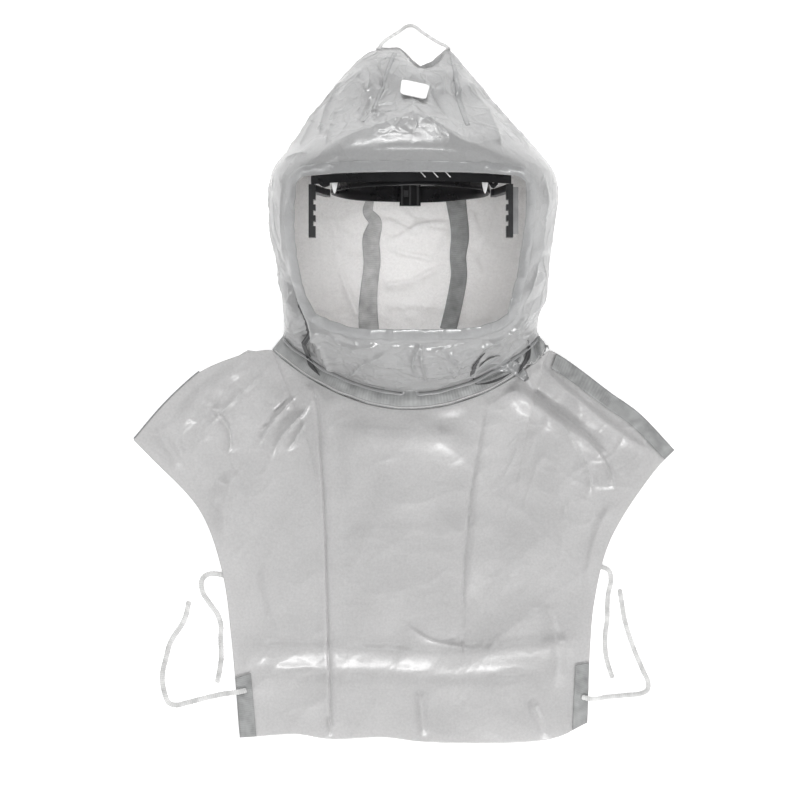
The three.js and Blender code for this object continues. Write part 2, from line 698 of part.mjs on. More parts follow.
function crownStrap() {
  const steps = 22;
  const base = ringY + browBandHeight + seamGap;
  const arc = (grow) =>
    Array.from({ length: steps + 1 }, (_, i) => {
      const angle = (Math.PI * i) / steps;
      return [(ringWidth / 2 - bandThickness + grow) * Math.cos(angle), base + (crownStrapRise + grow) * Math.sin(angle)];
    });
  const layer = (grow, z) => arc(grow).map(([x, y]) => point(x, y, z));
  const low = ringZ - crownStrapWidth / 2;
  const high = ringZ + crownStrapWidth / 2;
  return clothSolid([layer(crownStrapThickness, low), layer(crownStrapThickness, high)], [layer(0, low), layer(0, high)]);
}

// Collar: the neck rim's curve, and the band that follows it.
const neckRise = hoodSections[0].high * hoodDepth;

function collarPoint(share, outwards, lift) {
  const turn = mix(Math.PI, 0, share);
  const p = hoodPoint(turn, 0);
  const side = (p.x < 0 ? hoodSections[0].left : hoodSections[0].right) * halfWidth;
  const slope = (2 * chinDrop * hoodSections[0].drop * p.x) / side ** 2;
  const down = new THREE.Vector2(slope, -1).normalize();
  return point(p.x + down.x * outwards, p.y + down.y * outwards, p.z - (collarDrop * outwards) / collarTapeWidth + lift);
}

function collarFront() {
  const ends = 0.03;
  const place = (lift) => (t, s) => collarPoint(mix(ends, 1 - ends, s), seamGap + t * collarTapeWidth, lift);
  return clothSolid(grid(3, 33, place(0)), grid(3, 33, place(-tapeThickness)));
}

function collarBack() {
  const left = hoodPoint(Math.PI, 0).x;
  const right = hoodPoint(0, 0).x;
  return box(point(left, neckBack - seamGap - collarTapeWidth, 0), point(right, neckBack - seamGap, tapeThickness));
}

// Bib
const bibAt = (row) => point(row.across * bibWidth, row.along * bibLength, 0);
const through = (rows) => new THREE.CatmullRomCurve3(rows.map(bibAt), false, "centripetal");
const leftShoulderLine = through(leftShoulder);
const rightShoulderLine = through(rightShoulder);
const leftSideLine = through(leftSide);
const rightSideLine = through(rightSide);
const hemLine = through(hem);
const neckEdge = seamGap + collarTapeWidth + collarGap;

function bibTop(s) {
  if (s < neckStart) {
    const p = leftShoulderLine.getPointAt(s / neckStart);
    return p.lerp(neckCorner(0), smooth(s / neckStart, 0.6, 1));
  }
  if (s > neckEnd) {
    const share = (s - neckEnd) / (1 - neckEnd);
    return rightShoulderLine.getPointAt(share).lerp(neckCorner(1), 1 - smooth(share, 0, 0.4));
  }
  const p = collarPoint((s - neckStart) / (neckEnd - neckStart), neckEdge, 0);
  return point(p.x, p.y, 0);
}

function neckCorner(end) {
  const p = collarPoint(end, neckEdge, 0);
  return point(p.x, p.y, 0);
}

function bibPlan(s, t) {
  const top = bibTop(s);
  const bottom = hemLine.getPointAt(s);
  const left = leftSideLine.getPointAt(t);
  const right = rightSideLine.getPointAt(t);
  const corners = mix(1, 0, t);
  const across = left.multiplyScalar(1 - s).add(right.multiplyScalar(s));
  const down = top.multiplyScalar(corners).add(bottom.multiplyScalar(t));
  const bilinear = leftSideLine.getPointAt(0).multiplyScalar((1 - s) * (1 - t));
  bilinear.add(rightSideLine.getPointAt(0).multiplyScalar(s * (1 - t)));
  bilinear.add(leftSideLine.getPointAt(1).multiplyScalar((1 - s) * t));
  bilinear.add(rightSideLine.getPointAt(1).multiplyScalar(s * t));
  return across.add(down).sub(bilinear);
}

// Height of the front layer's upper face over the floor.
function bibHeight(s, t, p) {
  const middle = clamp((s - neckStart) / (neckEnd - neckStart), 0, 1);
  const rim = collarPoint(middle, neckEdge, 0);
  const away = Math.hypot(p.x - rim.x, p.y - rim.y) / bibSpread;
  const raised = Math.max(rim.z - bibRest, 0) * Math.exp(-(away ** 1.4));
  const edge = Math.min(s, 1 - s, t + 0.08, 1 - t + 0.08) / 0.08;
  const folds = foldHeight(bibFolds, p.x, p.y, bibWidth, bibLength, bibWidth, neckRise);
  const hemWave = 1.6 * Math.sin(s * 19) * smooth(t, 0.8, 1);
  const height = bibRest + raised + folds * clamp(edge, 0, 1) * smooth(t, 0, 0.1) + hemWave;
  return Math.max(height, 2 * fabric + layGap);
}

function bibFront() {
  const place = (lift) => (t, s) => {
    const p = bibPlan(s, t);
    return point(p.x, p.y, bibHeight(s, t, p) + lift);
  };
  return clothSolid(grid(bibRows, bibColumns, place(0)), grid(bibRows, bibColumns, place(-fabric)));
}

function bibBack() {
  const inward = (line, side, shares) =>
    shares.map((t) => {
      const p = line.getPointAt(t);
      const d = line.getTangentAt(t);
      return point(p.x - side * d.y * backInset, p.y + side * d.x * backInset, 0);
    });
  const shares = Array.from({ length: 11 }, (_, i) => mix(0.04, 0.96, i / 10));
  const hoodLeft = hoodPoint(Math.PI, 0).x;
  const hoodRight = hoodPoint(0, 0).x;
  const neckY = neckBack - 2 * seamGap - collarTapeWidth;
  const outline = [
    ...inward(leftShoulderLine, -1, shares),
    point(hoodLeft - backInset, neckBack, 0),
    point(hoodLeft - backInset, neckY, 0),
    point(hoodRight + backInset, neckY, 0),
    point(hoodRight + backInset, neckBack - collarTapeWidth, 0),
    ...inward(rightShoulderLine, -1, shares),
    ...inward(rightSideLine, -1, shares),
    ...inward(hemLine, 1, shares).reverse(),
    ...inward(leftSideLine, 1, shares).reverse(),
  ];
  return plate(outline, 0, fabric);
}

// A strip that lies on the bib's front layer between two shares of an edge.
function bibStrip(name, place) {
  const surface = (lift) => (t, s) => {
    const [u, v] = place(t, s);
    const p = bibPlan(u, v);
    return point(p.x, p.y, bibHeight(u, v, p) + lift);
  };
  const solid = clothSolid(
    grid(name.rows, name.columns, surface(layGap + tapeThickness)),
    grid(name.rows, name.columns, surface(layGap)),
  );
  return solid;
}

function shoulderTapeRight() {
  const line = rightShoulderLine.getLength();
  const depth = shoulderTapeWidth / rightSideLine.getLength();
  const start = neckEnd + ((1 - neckEnd) * collarTapeWidth) / line;
  return bibStrip({ rows: 3, columns: 15 }, (t, s) => [mix(start, 0.999, s), mix(0.001, depth, t)]);
}

// The left seam is rolled under, so its tape lies on the floor below the front layer.
function shoulderTapeLeft() {
  const shares = Array.from({ length: 13 }, (_, i) => i / 12);
  const edge = (outwards) =>
    shares.map((share) => {
      const p = leftShoulderLine.getPointAt(mix(0.005, 0.62, share));
      const d = leftShoulderLine.getTangentAt(mix(0.005, 0.62, share));
      return point(p.x - d.y * outwards, p.y + d.x * outwards, 0);
    });
  return plate([...edge(2), ...edge(-(backInset - seamGap)).reverse()], 0, tapeThickness);
}

function tiePatch(side) {
  const across = patchWidth / hemLine.getLength();
  const down = patchLength / (side < 0 ? leftSideLine : rightSideLine).getLength();
  const inset = 0.002;
  const span = side < 0 ? [inset, across] : [1 - across, 1 - inset];
  return bibStrip({ rows: 7, columns: 4 }, (t, s) => [mix(span[0], span[1], s), mix(1 - down, 1 - inset, t)]);
}

// Routes of the ribbons, points chosen by hand: the ties' ends lie on the floor.
const tieFloor = 0.9;
const patchTop = bibRest + layGap + tapeThickness + 0.9;
const tieRoutes = {
  tie_front_left: [
    [-179, -318, patchTop + 1],
    [-188, -320, patchTop + 1],
    [-195, -321, patchTop],
    [-205, -323, 2.6],
    [-216, -325.5, tieFloor],
    [-242, -332, tieFloor],
    [-257, -335.5, tieFloor],
    [-265, -333, tieFloor],
    [-269, -325, tieFloor],
    [-272, -311, tieFloor],
    [-272, -300, tieFloor],
    [-268, -283, tieFloor],
    [-264, -268, tieFloor],
    [-257, -256, tieFloor],
    [-252, -249, tieFloor],
    [-247, -239, tieFloor],
    [-244.5, -229, tieFloor],
    [-243, -221, tieFloor],
  ],
  tie_front_right: [
    [188, -325.5, patchTop + 0.6],
    [197, -327.5, patchTop + 0.4],
    [205, -328, 5.4],
    [213, -327, 1.8],
    [223, -326, tieFloor],
    [240, -324.5, tieFloor],
    [253, -323, tieFloor],
    [261, -319, tieFloor],
    [262, -311, tieFloor],
    [256, -297, tieFloor],
    [247, -276, tieFloor],
    [241, -259, tieFloor],
    [236, -242, tieFloor],
    [233, -224, tieFloor],
    [230.5, -208, tieFloor],
  ],
  tie_back_left: [
    [-190, -196, 2.6],
    [-199, -194, 2.4],
    [-208, -192, 0.9],
    [-216, -191, tieFloor],
    [-224, -192.5, tieFloor],
    [-229, -199, tieFloor],
    [-228, -211, tieFloor],
    [-220, -224, tieFloor],
    [-212, -235, tieFloor],
    [-208, -247, tieFloor],
    [-208, -262, tieFloor],
    [-207.5, -283, tieFloor],
    [-209, -296, tieFloor],
    [-212, -311, tieFloor],
  ],
  tie_back_right: [
    [196, -186, 2.6],
    [204, -185, 2.4],
    [212, -184, 0.9],
    [219, -188, tieFloor],
    [221, -199, tieFloor],
    [218, -213, tieFloor],
    [217, -226, tieFloor],
    [217, -240, tieFloor],
    [215, -255, tieFloor],
    [214.5, -270, tieFloor],
    [216, -284, tieFloor],
    [221, -301, tieFloor],
    [223, -306, tieFloor],
  ],
};
const loopRoute = [
  [-33, 372.2, 89],
  [-31, 377, 84],
  [-26, 386, 62],
  [-18, 396, 33],
  [-10, 405, 10],
  [-3, 411, 2.4],
  [4, 411, 2.4],
  [12, 404, 10],
  [22, 393, 34],
  [32, 382, 62],
  [38, 376, 82],
  [40, 372.2, 89],
];

function ribbon(route, width, thickness) {
  const curve = new THREE.CatmullRomCurve3(route.map(([x, y, z]) => point(x, y, z)), false, "centripetal");
  const w = width / 2;
  const t = thickness / 2;
  const bevel = t / 2;
  const section = [
    [-t, -w + bevel],
    [-t + bevel, -w],
    [t - bevel, -w],
    [t, -w + bevel],
    [t, w - bevel],
    [t - bevel, w],
    [-t + bevel, w],
    [-t, w - bevel],
  ].map(([x, y]) => new THREE.Vector2(x, y));
  const steps = Math.round(curve.getLength() / 12);
  return new THREE.ExtrudeGeometry(new THREE.Shape(section), { steps, extrudePath: curve, bevelEnabled: false });
}

// Assembly
const hood = new THREE.Group();
hood.add(
  named("hood_front_panel", hoodFront, coatedGrey),
  named("hood_centre_panel", hoodCentre, coatedGrey),
  named("visor", visorShape, clearPlastic),
  named("visor_binding", bindingSolid(), bindingGrey),
  named("brow_label", labelSolid(), whiteRibbon),
  named("seam_tape_back_left", backTape(-1), tapeGrey),
  named("seam_tape_back_right", backTape(1), tapeGrey),
);

const suspension = new THREE.Group();
const ringSplit = seamGap / (ringDepth / 2);
suspension.add(
  named("brow_band", ringHalf(0, Math.PI, browBandHeight, bandThickness), blackPlastic),
  named("nape_strap", ringHalf(Math.PI + ringSplit, 2 * Math.PI - ringSplit, napeStrapHeight, bandThickness), blackPlastic),
  named("size_buckle", buckleSolid(), blackPlastic),
  named("brow_frame", frameShape, blackPlastic),
  named("side_bracket_left", bracket(-1), darkGreyPlastic),
  named("side_bracket_right", bracket(1), darkGreyPlastic),
  named("crown_strap", crownStrap(), blackPlastic),
);

const bib = new THREE.Group();
bib.add(
  named("collar_tape_front", collarFront(), tapeGrey),
  named("collar_tape_back", collarBack(), tapeGrey),
  named("bib_front", bibFront(), bibGrey),
  named("bib_back", bibBack(), bibGrey),
  named("shoulder_tape_left", shoulderTapeLeft(), tapeGrey),
  named("shoulder_tape_right", shoulderTapeRight(), tapeGrey),
  named("tie_patch_left", tiePatch(-1), tapeGrey),
  named("tie_patch_right", tiePatch(1), tapeGrey),
);

const ribbons = new THREE.Group();
for (const [name, route] of Object.entries(tieRoutes)) {
  ribbons.add(named(name, ribbon(route, tieWidth, tieThickness), whiteRibbon));
}
ribbons.add(named("hang_loop", ribbon(loopRoute, loopWidth, loopThickness), whiteRibbon));

const sewn = new THREE.Group();
sewn.add(hood, suspension, bib);
const extent = new THREE.Box3().setFromObject(sewn, true);
const centre = extent.getCenter(new THREE.Vector3());

const respiratorHood = new THREE.Group();
respiratorHood.add(sewn, ribbons);
respiratorHood.position.set(-centre.x, -centre.y, -extent.min.z);

export default respiratorHood;
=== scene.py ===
# A respirator hood lying on its back on a pale table, seen from straight above.
# Working lengths are millimetres from the hood's middle seam. toFrame turns them into metres.

import math

import bpy
import numpy as np
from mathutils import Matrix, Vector


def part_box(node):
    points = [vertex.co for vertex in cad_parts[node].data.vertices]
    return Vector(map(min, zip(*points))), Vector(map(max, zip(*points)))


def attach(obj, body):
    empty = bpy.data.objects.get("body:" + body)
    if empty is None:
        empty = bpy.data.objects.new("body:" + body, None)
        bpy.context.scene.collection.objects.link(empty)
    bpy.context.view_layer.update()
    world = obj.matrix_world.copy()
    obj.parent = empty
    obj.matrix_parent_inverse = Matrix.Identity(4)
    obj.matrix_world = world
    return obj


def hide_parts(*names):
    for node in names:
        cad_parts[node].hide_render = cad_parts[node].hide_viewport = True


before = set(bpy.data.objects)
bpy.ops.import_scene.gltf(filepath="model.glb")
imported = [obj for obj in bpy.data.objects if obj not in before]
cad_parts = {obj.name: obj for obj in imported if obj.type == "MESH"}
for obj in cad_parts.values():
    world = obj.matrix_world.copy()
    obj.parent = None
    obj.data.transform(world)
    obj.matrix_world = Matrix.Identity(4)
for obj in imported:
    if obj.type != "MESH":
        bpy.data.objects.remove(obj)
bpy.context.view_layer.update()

middle = np.array([0.007018, 0.003295, 0.0])  # where the middle seam stands in the frame


def toFrame(points):
    return np.asarray(points, float) / 1000 + middle


# Camera and photograph
viewpoint = {"height": 2400.0, "x": -11.0, "y": 0.0, "span": 880.0}


def addCamera():
    data = bpy.data.cameras.new("camera")
    data.sensor_width = 36
    data.lens = 36 * viewpoint["height"] / viewpoint["span"]
    data.clip_end = 20
    camera = bpy.data.objects.new("camera", data)
    camera.location = toFrame([viewpoint["x"], viewpoint["y"], viewpoint["height"]])
    bpy.context.scene.collection.objects.link(camera)
    bpy.context.scene.camera = camera


def seenAt(places, height):
    # places in an 800 by 800 picture, carried down to a height over the table
    p = np.asarray(places, float)
    reach = viewpoint["span"] / 800 * (1 - height / viewpoint["height"])
    return np.stack([(p[..., 0] - 400) * reach + viewpoint["x"], (400 - p[..., 1]) * reach], -1)


addCamera()
print("camera set")


# Curves

def smoothLine(points, closed=False, per=24):
    p = np.array(points, float)
    n = len(p)
    out = []
    for i in range(n if closed else n - 1):
        p1, p2 = p[i], p[(i + 1) % n]
        p0 = p[i - 1] if closed or i > 0 else 2 * p[0] - p[1]
        p3 = p[(i + 2) % n] if closed or i < n - 2 else 2 * p[-1] - p[-2]
        d0, d1, d2 = (max(np.linalg.norm(b - a) ** 0.5, 1e-3) for a, b in ((p0, p1), (p1, p2), (p2, p3)))
        t1 = ((p1 - p0) / d0 - (p2 - p0) / (d0 + d1) + (p2 - p1) / d1) * d1
        t2 = ((p2 - p1) / d1 - (p3 - p1) / (d1 + d2) + (p3 - p2) / d2) * d1
        f = np.linspace(0, 1, per, endpoint=False)[:, None]
        out.append(p1 + t1 * f + (-3 * p1 + 3 * p2 - 2 * t1 - t2) * f ** 2 + (2 * p1 - 2 * p2 + t1 + t2) * f ** 3)
    if not closed:
        out.append(p[-1:])
    return np.vstack(out)


def lineLength(line):
    return float(np.linalg.norm(np.diff(line, axis=0), axis=1).sum())


def along(line, share):
    run = np.r_[0, np.cumsum(np.linalg.norm(np.diff(line, axis=0), axis=1))]
    return np.stack([np.interp(np.asarray(share) * run[-1], run, line[:, k]) for k in range(line.shape[1])], -1)


def mix(a, b, t):
    return a + (b - a) * t


def smooth(x, low, high):
    t = np.clip((np.asarray(x, float) - low) / (high - low), 0, 1)
    return t * t * (3 - 2 * t)


# Wrinkles

def gradientNoise(points, cell, seed):
    # smooth noise from about -1 to 1, with features as large as cell
    rng = np.random.default_rng(seed)
    shuffled = rng.permutation(256)
    slopes = rng.normal(size=(256, 3))
    slopes /= np.linalg.norm(slopes, axis=1)[:, None]
    q = np.asarray(points, float).reshape(-1, 3) / cell
    base = np.floor(q).astype(int)
    f = q - base
    s = f ** 3 * (f * (f * 6 - 15) + 10)
    total = np.zeros(len(q))
    for dx in (0, 1):
        for dy in (0, 1):
            for dz in (0, 1):
                i = base + (dx, dy, dz)
                h = shuffled[(shuffled[(shuffled[i[:, 0] & 255] + i[:, 1]) & 255] + i[:, 2]) & 255]
                dot = ((f - (dx, dy, dz)) * slopes[h]).sum(1)
                w = (s[:, 0] if dx else 1 - s[:, 0]) * (s[:, 1] if dy else 1 - s[:, 1]) * (s[:, 2] if dz else 1 - s[:, 2])
                total += dot * w
    return (total * 1.6).reshape(np.asarray(points).shape[:-1])


def crumple(points, cell, seed, layers=3, stretch=(1, 1, 1), warp=0.35):
    # creased noise: sharp ridges between shallow cups, as stiff coated cloth crumples
    p = np.asarray(points, float) * np.asarray(stretch, float)
    sway = np.stack([gradientNoise(p, cell * 1.7, seed + 50 + k) for k in range(3)], -1)
    p = p + sway * cell * warp
    total, weight, sum_ = 0, 1.0, 0
    for k in range(layers):
        ridge = 1 - np.abs(gradientNoise(p, cell / 1.9 ** k, seed + 7 * k)) * 2.2
        total = total + weight * np.clip(ridge, -1, 1)
        sum_ += weight
        weight *= 0.5
    return total / sum_ - 0.35


def creases(points, cell, seed, layers=2, narrow=3.0, warp=0.5):
    # taut cloth: thin straight ridges with flat cloth between them
    p = np.asarray(points, float)
    sway = np.stack([gradientNoise(p, cell * 2.2, seed + 50 + k) for k in range(3)], -1)
    p = p + sway * cell * warp
    total, weight = 0, 1.0
    for k in range(layers):
        total = total + weight * np.clip(1 - np.abs(gradientNoise(p, cell / 1.7 ** k, seed + 7 * k)) * narrow, 0, 1) ** 1.5
        weight *= 0.55
    return total - 0.3


def facets(points, cell, seed, layers=4):
    # flat facets that meet in straight creases, as taut film folds
    rng = np.random.default_rng(seed)
    p = np.asarray(points, float)
    p = p + np.stack([gradientNoise(p, cell * 2.5, seed + 50 + k) for k in range(3)], -1) * cell * 0.5
    total, weight, whole = 0, 1.0, 0
    for k in range(layers):
        way = rng.normal(size=3)
        way /= np.linalg.norm(way)
        wave = np.abs((p @ way / (cell * rng.uniform(0.7, 1.5)) + rng.random()) % 1 - 0.5) * 4 - 1
        total = total + weight * wave * smooth(gradientNoise(p, cell * 1.6, seed + 11 * k), -0.25, 0.35)
        whole += weight
        weight *= 0.75
    return total / whole


def foldLift(x, y, folds, height, wider=1.0):
    # folds run along points of the picture; rise and width in millimetres
    lift = np.zeros(np.shape(x))
    for fold in folds:
        line = smoothLine(seenAt(fold["run"], fold.get("at", height)), per=6)
        near = np.full(np.shape(x), 1e9)
        share = np.zeros(np.shape(x))
        side = np.zeros(np.shape(x))
        run = np.r_[0, np.cumsum(np.linalg.norm(np.diff(line, axis=0), axis=1))]
        reach = 4 * max(fold["width"]) * wider
        low, high = line.min(0) - reach, line.max(0) + reach
        close = (x > low[0]) & (x < high[0]) & (y > low[1]) & (y < high[1])
        px, py = x[close], y[close]
        bestD, bestS, bestSide = np.full(px.shape, 1e9), np.zeros(px.shape), np.zeros(px.shape)
        for a, b, r in zip(line[:-1], line[1:], run[:-1]):
            d = b - a
            size = max(float(d @ d), 1e-9)
            t = np.clip(((px - a[0]) * d[0] + (py - a[1]) * d[1]) / size, 0, 1)
            ox, oy = px - a[0] - t * d[0], py - a[1] - t * d[1]
            far = np.hypot(ox, oy)
            better = far < bestD
            bestD = np.where(better, far, bestD)
            bestS = np.where(better, (r + t * math.sqrt(size)) / run[-1], bestS)
            bestSide = np.where(better, d[0] * oy - d[1] * ox, bestSide)
        near[close], share[close], side[close] = bestD, bestS, bestSide
        width = np.where(side > 0, fold["width"][0], fold["width"][-1])
        taper = smooth(share, -0.02, fold.get("ease", 0.25)) * (1 - smooth(share, 1 - fold.get("ease", 0.25), 1.02))
        off = near / (width * wider)
        shape = np.exp(-off * 1.5) if fold.get("sharp") else np.exp(-off ** 2)
        lift += fold["rise"] * shape * taper
    return lift


def dentLift(x, y, dents, height):
    lift = np.zeros(np.shape(x))
    for dent in dents:
        cx, cy = seenAt(dent["spot"], dent.get("at", height))
        lift += dent["rise"] * np.exp(-((x - cx) / dent["size"][0]) ** 2 - ((y - cy) / dent["size"][1]) ** 2)
    return lift


# Meshes

def addMesh(name, points, faces, materials, smoothFaces=True, marks=None):
    mesh = bpy.data.meshes.new(name)
    mesh.from_pydata(toFrame(points).tolist(), [], [list(map(int, f)) for f in faces])
    for material in materials:
        mesh.materials.append(material)
    mesh.polygons.foreach_set("use_smooth", [smoothFaces] * len(mesh.polygons))
    if marks is not None:
        layer = mesh.uv_layers.new(name="run")
        corners = np.zeros(len(mesh.loops), int)
        mesh.loops.foreach_get("vertex_index", corners)
        layer.data.foreach_set("uv", np.asarray(marks, float)[corners].ravel())
    mesh.validate()
    piece = bpy.data.objects.new(name, mesh)
    bpy.context.scene.collection.objects.link(piece)
    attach(piece, "root")
    return piece


def gridFaces(rows, columns, ring=False, flip=False):
    i, j = np.meshgrid(np.arange(rows - 1), np.arange(columns if ring else columns - 1), indexing="ij")
    a, b = i * columns + j, i * columns + (j + 1) % columns
    faces = np.stack([a, b, b + columns, a + columns], -1).reshape(-1, 4)
    return faces[:, ::-1] if flip else faces


def thicken(piece, thickness, offset=-1, inside=0, rim=0):
    shell = piece.modifiers.new("thickness", "SOLIDIFY")
    shell.thickness = thickness / 1000
    shell.offset = offset
    shell.use_rim = True
    shell.material_offset = inside
    shell.material_offset_rim = rim
    return piece


def stripMesh(name, line, across, materials, thickness, profile=None, offset=1):
    # a band along line: across gives its sideways vector at each point
    rows = len(line)
    profile = np.linspace(-0.5, 0.5, 7) if profile is None else profile
    points = line[:, None, :] + across[:, None, :] * profile[None, :, None]
    run = np.r_[0, np.cumsum(np.linalg.norm(np.diff(line, axis=0), axis=1))]
    wide = np.linalg.norm(across, axis=1)
    marks = np.stack([profile[None, :] * wide[:, None] / 1000, np.repeat(run[:, None], len(profile), 1) / 1000], -1)
    faces = gridFaces(rows, len(profile))
    flat = points.reshape(-1, 3)
    a, b, c = flat[faces[:, 0]], flat[faces[:, 1]], flat[faces[:, 2]]
    if np.cross(b - a, c - a)[:, 2].sum() < 0:
        faces = faces[:, ::-1]
    piece = addMesh(name, flat, faces, materials, marks=marks.reshape(-1, 2))
    return thicken(piece, thickness, offset)


# Materials

def newMaterial(name):
    material = bpy.data.materials.new(name)
    material.use_nodes = True
    tree = material.node_tree
    tree.nodes.clear()
    return material, tree


def addNode(tree, kind, inputs=None, **settings):
    node = tree.nodes.new(kind)
    for key, value in settings.items():
        setattr(node, key, value)
    for key, value in (inputs or {}).items():
        if isinstance(value, bpy.types.NodeSocket):
            tree.links.new(value, node.inputs[key])
        else:
            node.inputs[key].default_value = value
    return node


def ramp(tree, source, stops):
    node = addNode(tree, "ShaderNodeValToRGB", {"Fac": source})
    elements = node.color_ramp.elements
    while len(elements) < len(stops):
        elements.new(0.5)
    for element, (place, value) in zip(elements, stops):
        element.position = place
        element.color = (*value, 1) if isinstance(value, tuple) else (value, value, value, 1)
    return node.outputs["Color"]


def addShade(a, k):
    return tuple(min(1, c * k) for c in a)


def clothMaterial(name, look):
    # film-coated nonwoven: felted fibre mottle, crisp small creases, a shine that breaks up
    material, tree = newMaterial(name)
    place = addNode(tree, "ShaderNodeTexCoord").outputs["Object"]
    fibre = addNode(tree, "ShaderNodeTexNoise", {"Vector": place, "Scale": look["fibre"], "Detail": 5, "Roughness": 0.65})
    patch = addNode(tree, "ShaderNodeTexNoise", {"Vector": place, "Scale": 14, "Detail": 3, "Roughness": 0.5})
    drawn = addNode(tree, "ShaderNodeMapping", {"Vector": place, "Scale": look["draw"]})
    creases = addNode(tree, "ShaderNodeTexNoise", {"Vector": drawn.outputs[0], "Scale": look["crease"], "Detail": 2.5,
                                                   "Roughness": 0.6, "Distortion": 0.3}, noise_type="RIDGED_MULTIFRACTAL", normalize=True)
    crease = ramp(tree, creases.outputs["Fac"], [(0.25, 0.0), (0.6, 0.35), (0.95, 1.0)])
    shade = addNode(tree, "ShaderNodeMix", {0: patch.outputs["Fac"]}, data_type="RGBA")
    for socket, value in ((6, (*addShade(look["colour"], 0.88), 1)), (7, (*addShade(look["colour"], 1.12), 1))):
        shade.inputs[socket].default_value = value
    speck = ramp(tree, fibre.outputs["Fac"], [(0.3, 0.9), (0.7, 1.08)])
    colour = addNode(tree, "ShaderNodeMix", data_type="RGBA", blend_type="MULTIPLY")
    colour.inputs[0].default_value = 1
    tree.links.new(shade.outputs[2], colour.inputs[6])
    tree.links.new(speck, colour.inputs[7])
    bumpFine = addNode(tree, "ShaderNodeBump", {"Height": fibre.outputs["Fac"], "Strength": look["grain"], "Distance": 0.0006})
    bump = addNode(tree, "ShaderNodeBump", {"Height": crease, "Strength": look["crisp"], "Distance": 0.0018,
                                            "Normal": bumpFine.outputs["Normal"]})
    gloss = ramp(tree, patch.outputs["Fac"], [(0.35, look["rough"] * 0.8), (0.65, look["rough"] * 1.2)])
    face = addNode(tree, "ShaderNodeBsdfPrincipled", {
        "Base Color": colour.outputs[2], "Roughness": gloss, "Normal": bump.outputs["Normal"],
        "Specular IOR Level": look["shine"], "Coat Weight": look["film"], "Coat Roughness": look["polish"], "Coat IOR": 1.6})
    through = addNode(tree, "ShaderNodeBsdfTranslucent", {"Color": (*look["glow"], 1), "Normal": bumpFine.outputs["Normal"]})
    both = addNode(tree, "ShaderNodeMixShader", {"Fac": look["thin"], 1: face.outputs[0], 2: through.outputs[0]})
    addNode(tree, "ShaderNodeOutputMaterial", {"Surface": both.outputs[0]})
    return material


def tapeMaterial(name, colour, ribs=900, rough=0.5, depth=0.25):
    # woven tape: ribs across its run
    material, tree = newMaterial(name)
    place = addNode(tree, "ShaderNodeUVMap").outputs[0]
    solid = addNode(tree, "ShaderNodeTexCoord").outputs["Object"]
    lines = addNode(tree, "ShaderNodeTexWave", {"Vector": place, "Scale": ribs / 6.28, "Distortion": 0.4, "Detail": 1},
                    wave_type="BANDS", bands_direction="Y")
    wear = addNode(tree, "ShaderNodeTexNoise", {"Vector": solid, "Scale": 90, "Detail": 4})
    shade = ramp(tree, wear.outputs["Fac"], [(0.3, addShade(colour, 0.78)), (0.7, addShade(colour, 1.22))])
    stripe = ramp(tree, lines.outputs["Color"], [(0.2, 0.94), (0.8, 1.03)])
    mixed = addNode(tree, "ShaderNodeMix", data_type="RGBA", blend_type="MULTIPLY")
    mixed.inputs[0].default_value = 1
    tree.links.new(shade, mixed.inputs[6])
    tree.links.new(stripe, mixed.inputs[7])
    bump = addNode(tree, "ShaderNodeBump", {"Height": lines.outputs["Color"], "Strength": depth, "Distance": 0.0005})
    face = addNode(tree, "ShaderNodeBsdfPrincipled", {"Base Color": mixed.outputs[2], "Roughness": rough, "Normal": bump.outputs["Normal"]})
    addNode(tree, "ShaderNodeOutputMaterial", {"Surface": face.outputs[0]})
    return material


def mouldedMaterial(name, colour, rough, grain=0.12, shine=0.5):
    material, tree = newMaterial(name)
    place = addNode(tree, "ShaderNodeTexCoord").outputs["Object"]
    fine = addNode(tree, "ShaderNodeTexNoise", {"Vector": place, "Scale": 900, "Detail": 3})
    wear = addNode(tree, "ShaderNodeTexNoise", {"Vector": place, "Scale": 60, "Detail": 4})
    shade = ramp(tree, wear.outputs["Fac"], [(0.35, colour), (0.75, addShade(colour, 1.6))])
    gloss = ramp(tree, wear.outputs["Fac"], [(0.3, rough * 0.8), (0.7, rough * 1.25)])
    bump = addNode(tree, "ShaderNodeBump", {"Height": fine.outputs["Fac"], "Strength": grain, "Distance": 0.0003})
    face = addNode(tree, "ShaderNodeBsdfPrincipled", {"Base Color": shade, "Roughness": gloss, "Normal": bump.outputs["Normal"],
                                                       "Specular IOR Level": shine})
    addNode(tree, "ShaderNodeOutputMaterial", {"Surface": face.outputs[0]})
    return material


def clearMaterial(name):
    # clear bendy sheet: see-through, with a sharp shine at grazing angles
    material, tree = newMaterial(name)
    place = addNode(tree, "ShaderNodeTexCoord").outputs["Object"]
    ripple = addNode(tree, "ShaderNodeTexNoise", {"Vector": place, "Scale": 12, "Detail": 2})
    bump = addNode(tree, "ShaderNodeBump", {"Height": ripple.outputs["Fac"], "Strength": 0.25, "Distance": 0.004})
    lean = addNode(tree, "ShaderNodeLayerWeight", {"Blend": 0.5, "Normal": bump.outputs["Normal"]})
    steep = addNode(tree, "ShaderNodeMath", {0: lean.outputs["Facing"], 1: 4.5}, operation="POWER")
    edge = addNode(tree, "ShaderNodeMath", {0: steep.outputs[0], 1: 0.35, 2: 0.0}, operation="MULTIPLY_ADD")
    gloss = addNode(tree, "ShaderNodeBsdfGlossy", {"Color": (0.95, 0.96, 0.96, 1), "Roughness": 0.06, "Normal": bump.outputs["Normal"]})
    clear = addNode(tree, "ShaderNodeBsdfTransparent", {"Color": (0.99, 0.99, 0.99, 1)})
    both = addNode(tree, "ShaderNodeMixShader", {"Fac": edge.outputs[0], 1: clear.outputs[0], 2: gloss.outputs[0]})
    addNode(tree, "ShaderNodeOutputMaterial", {"Surface": both.outputs[0]})
    return material


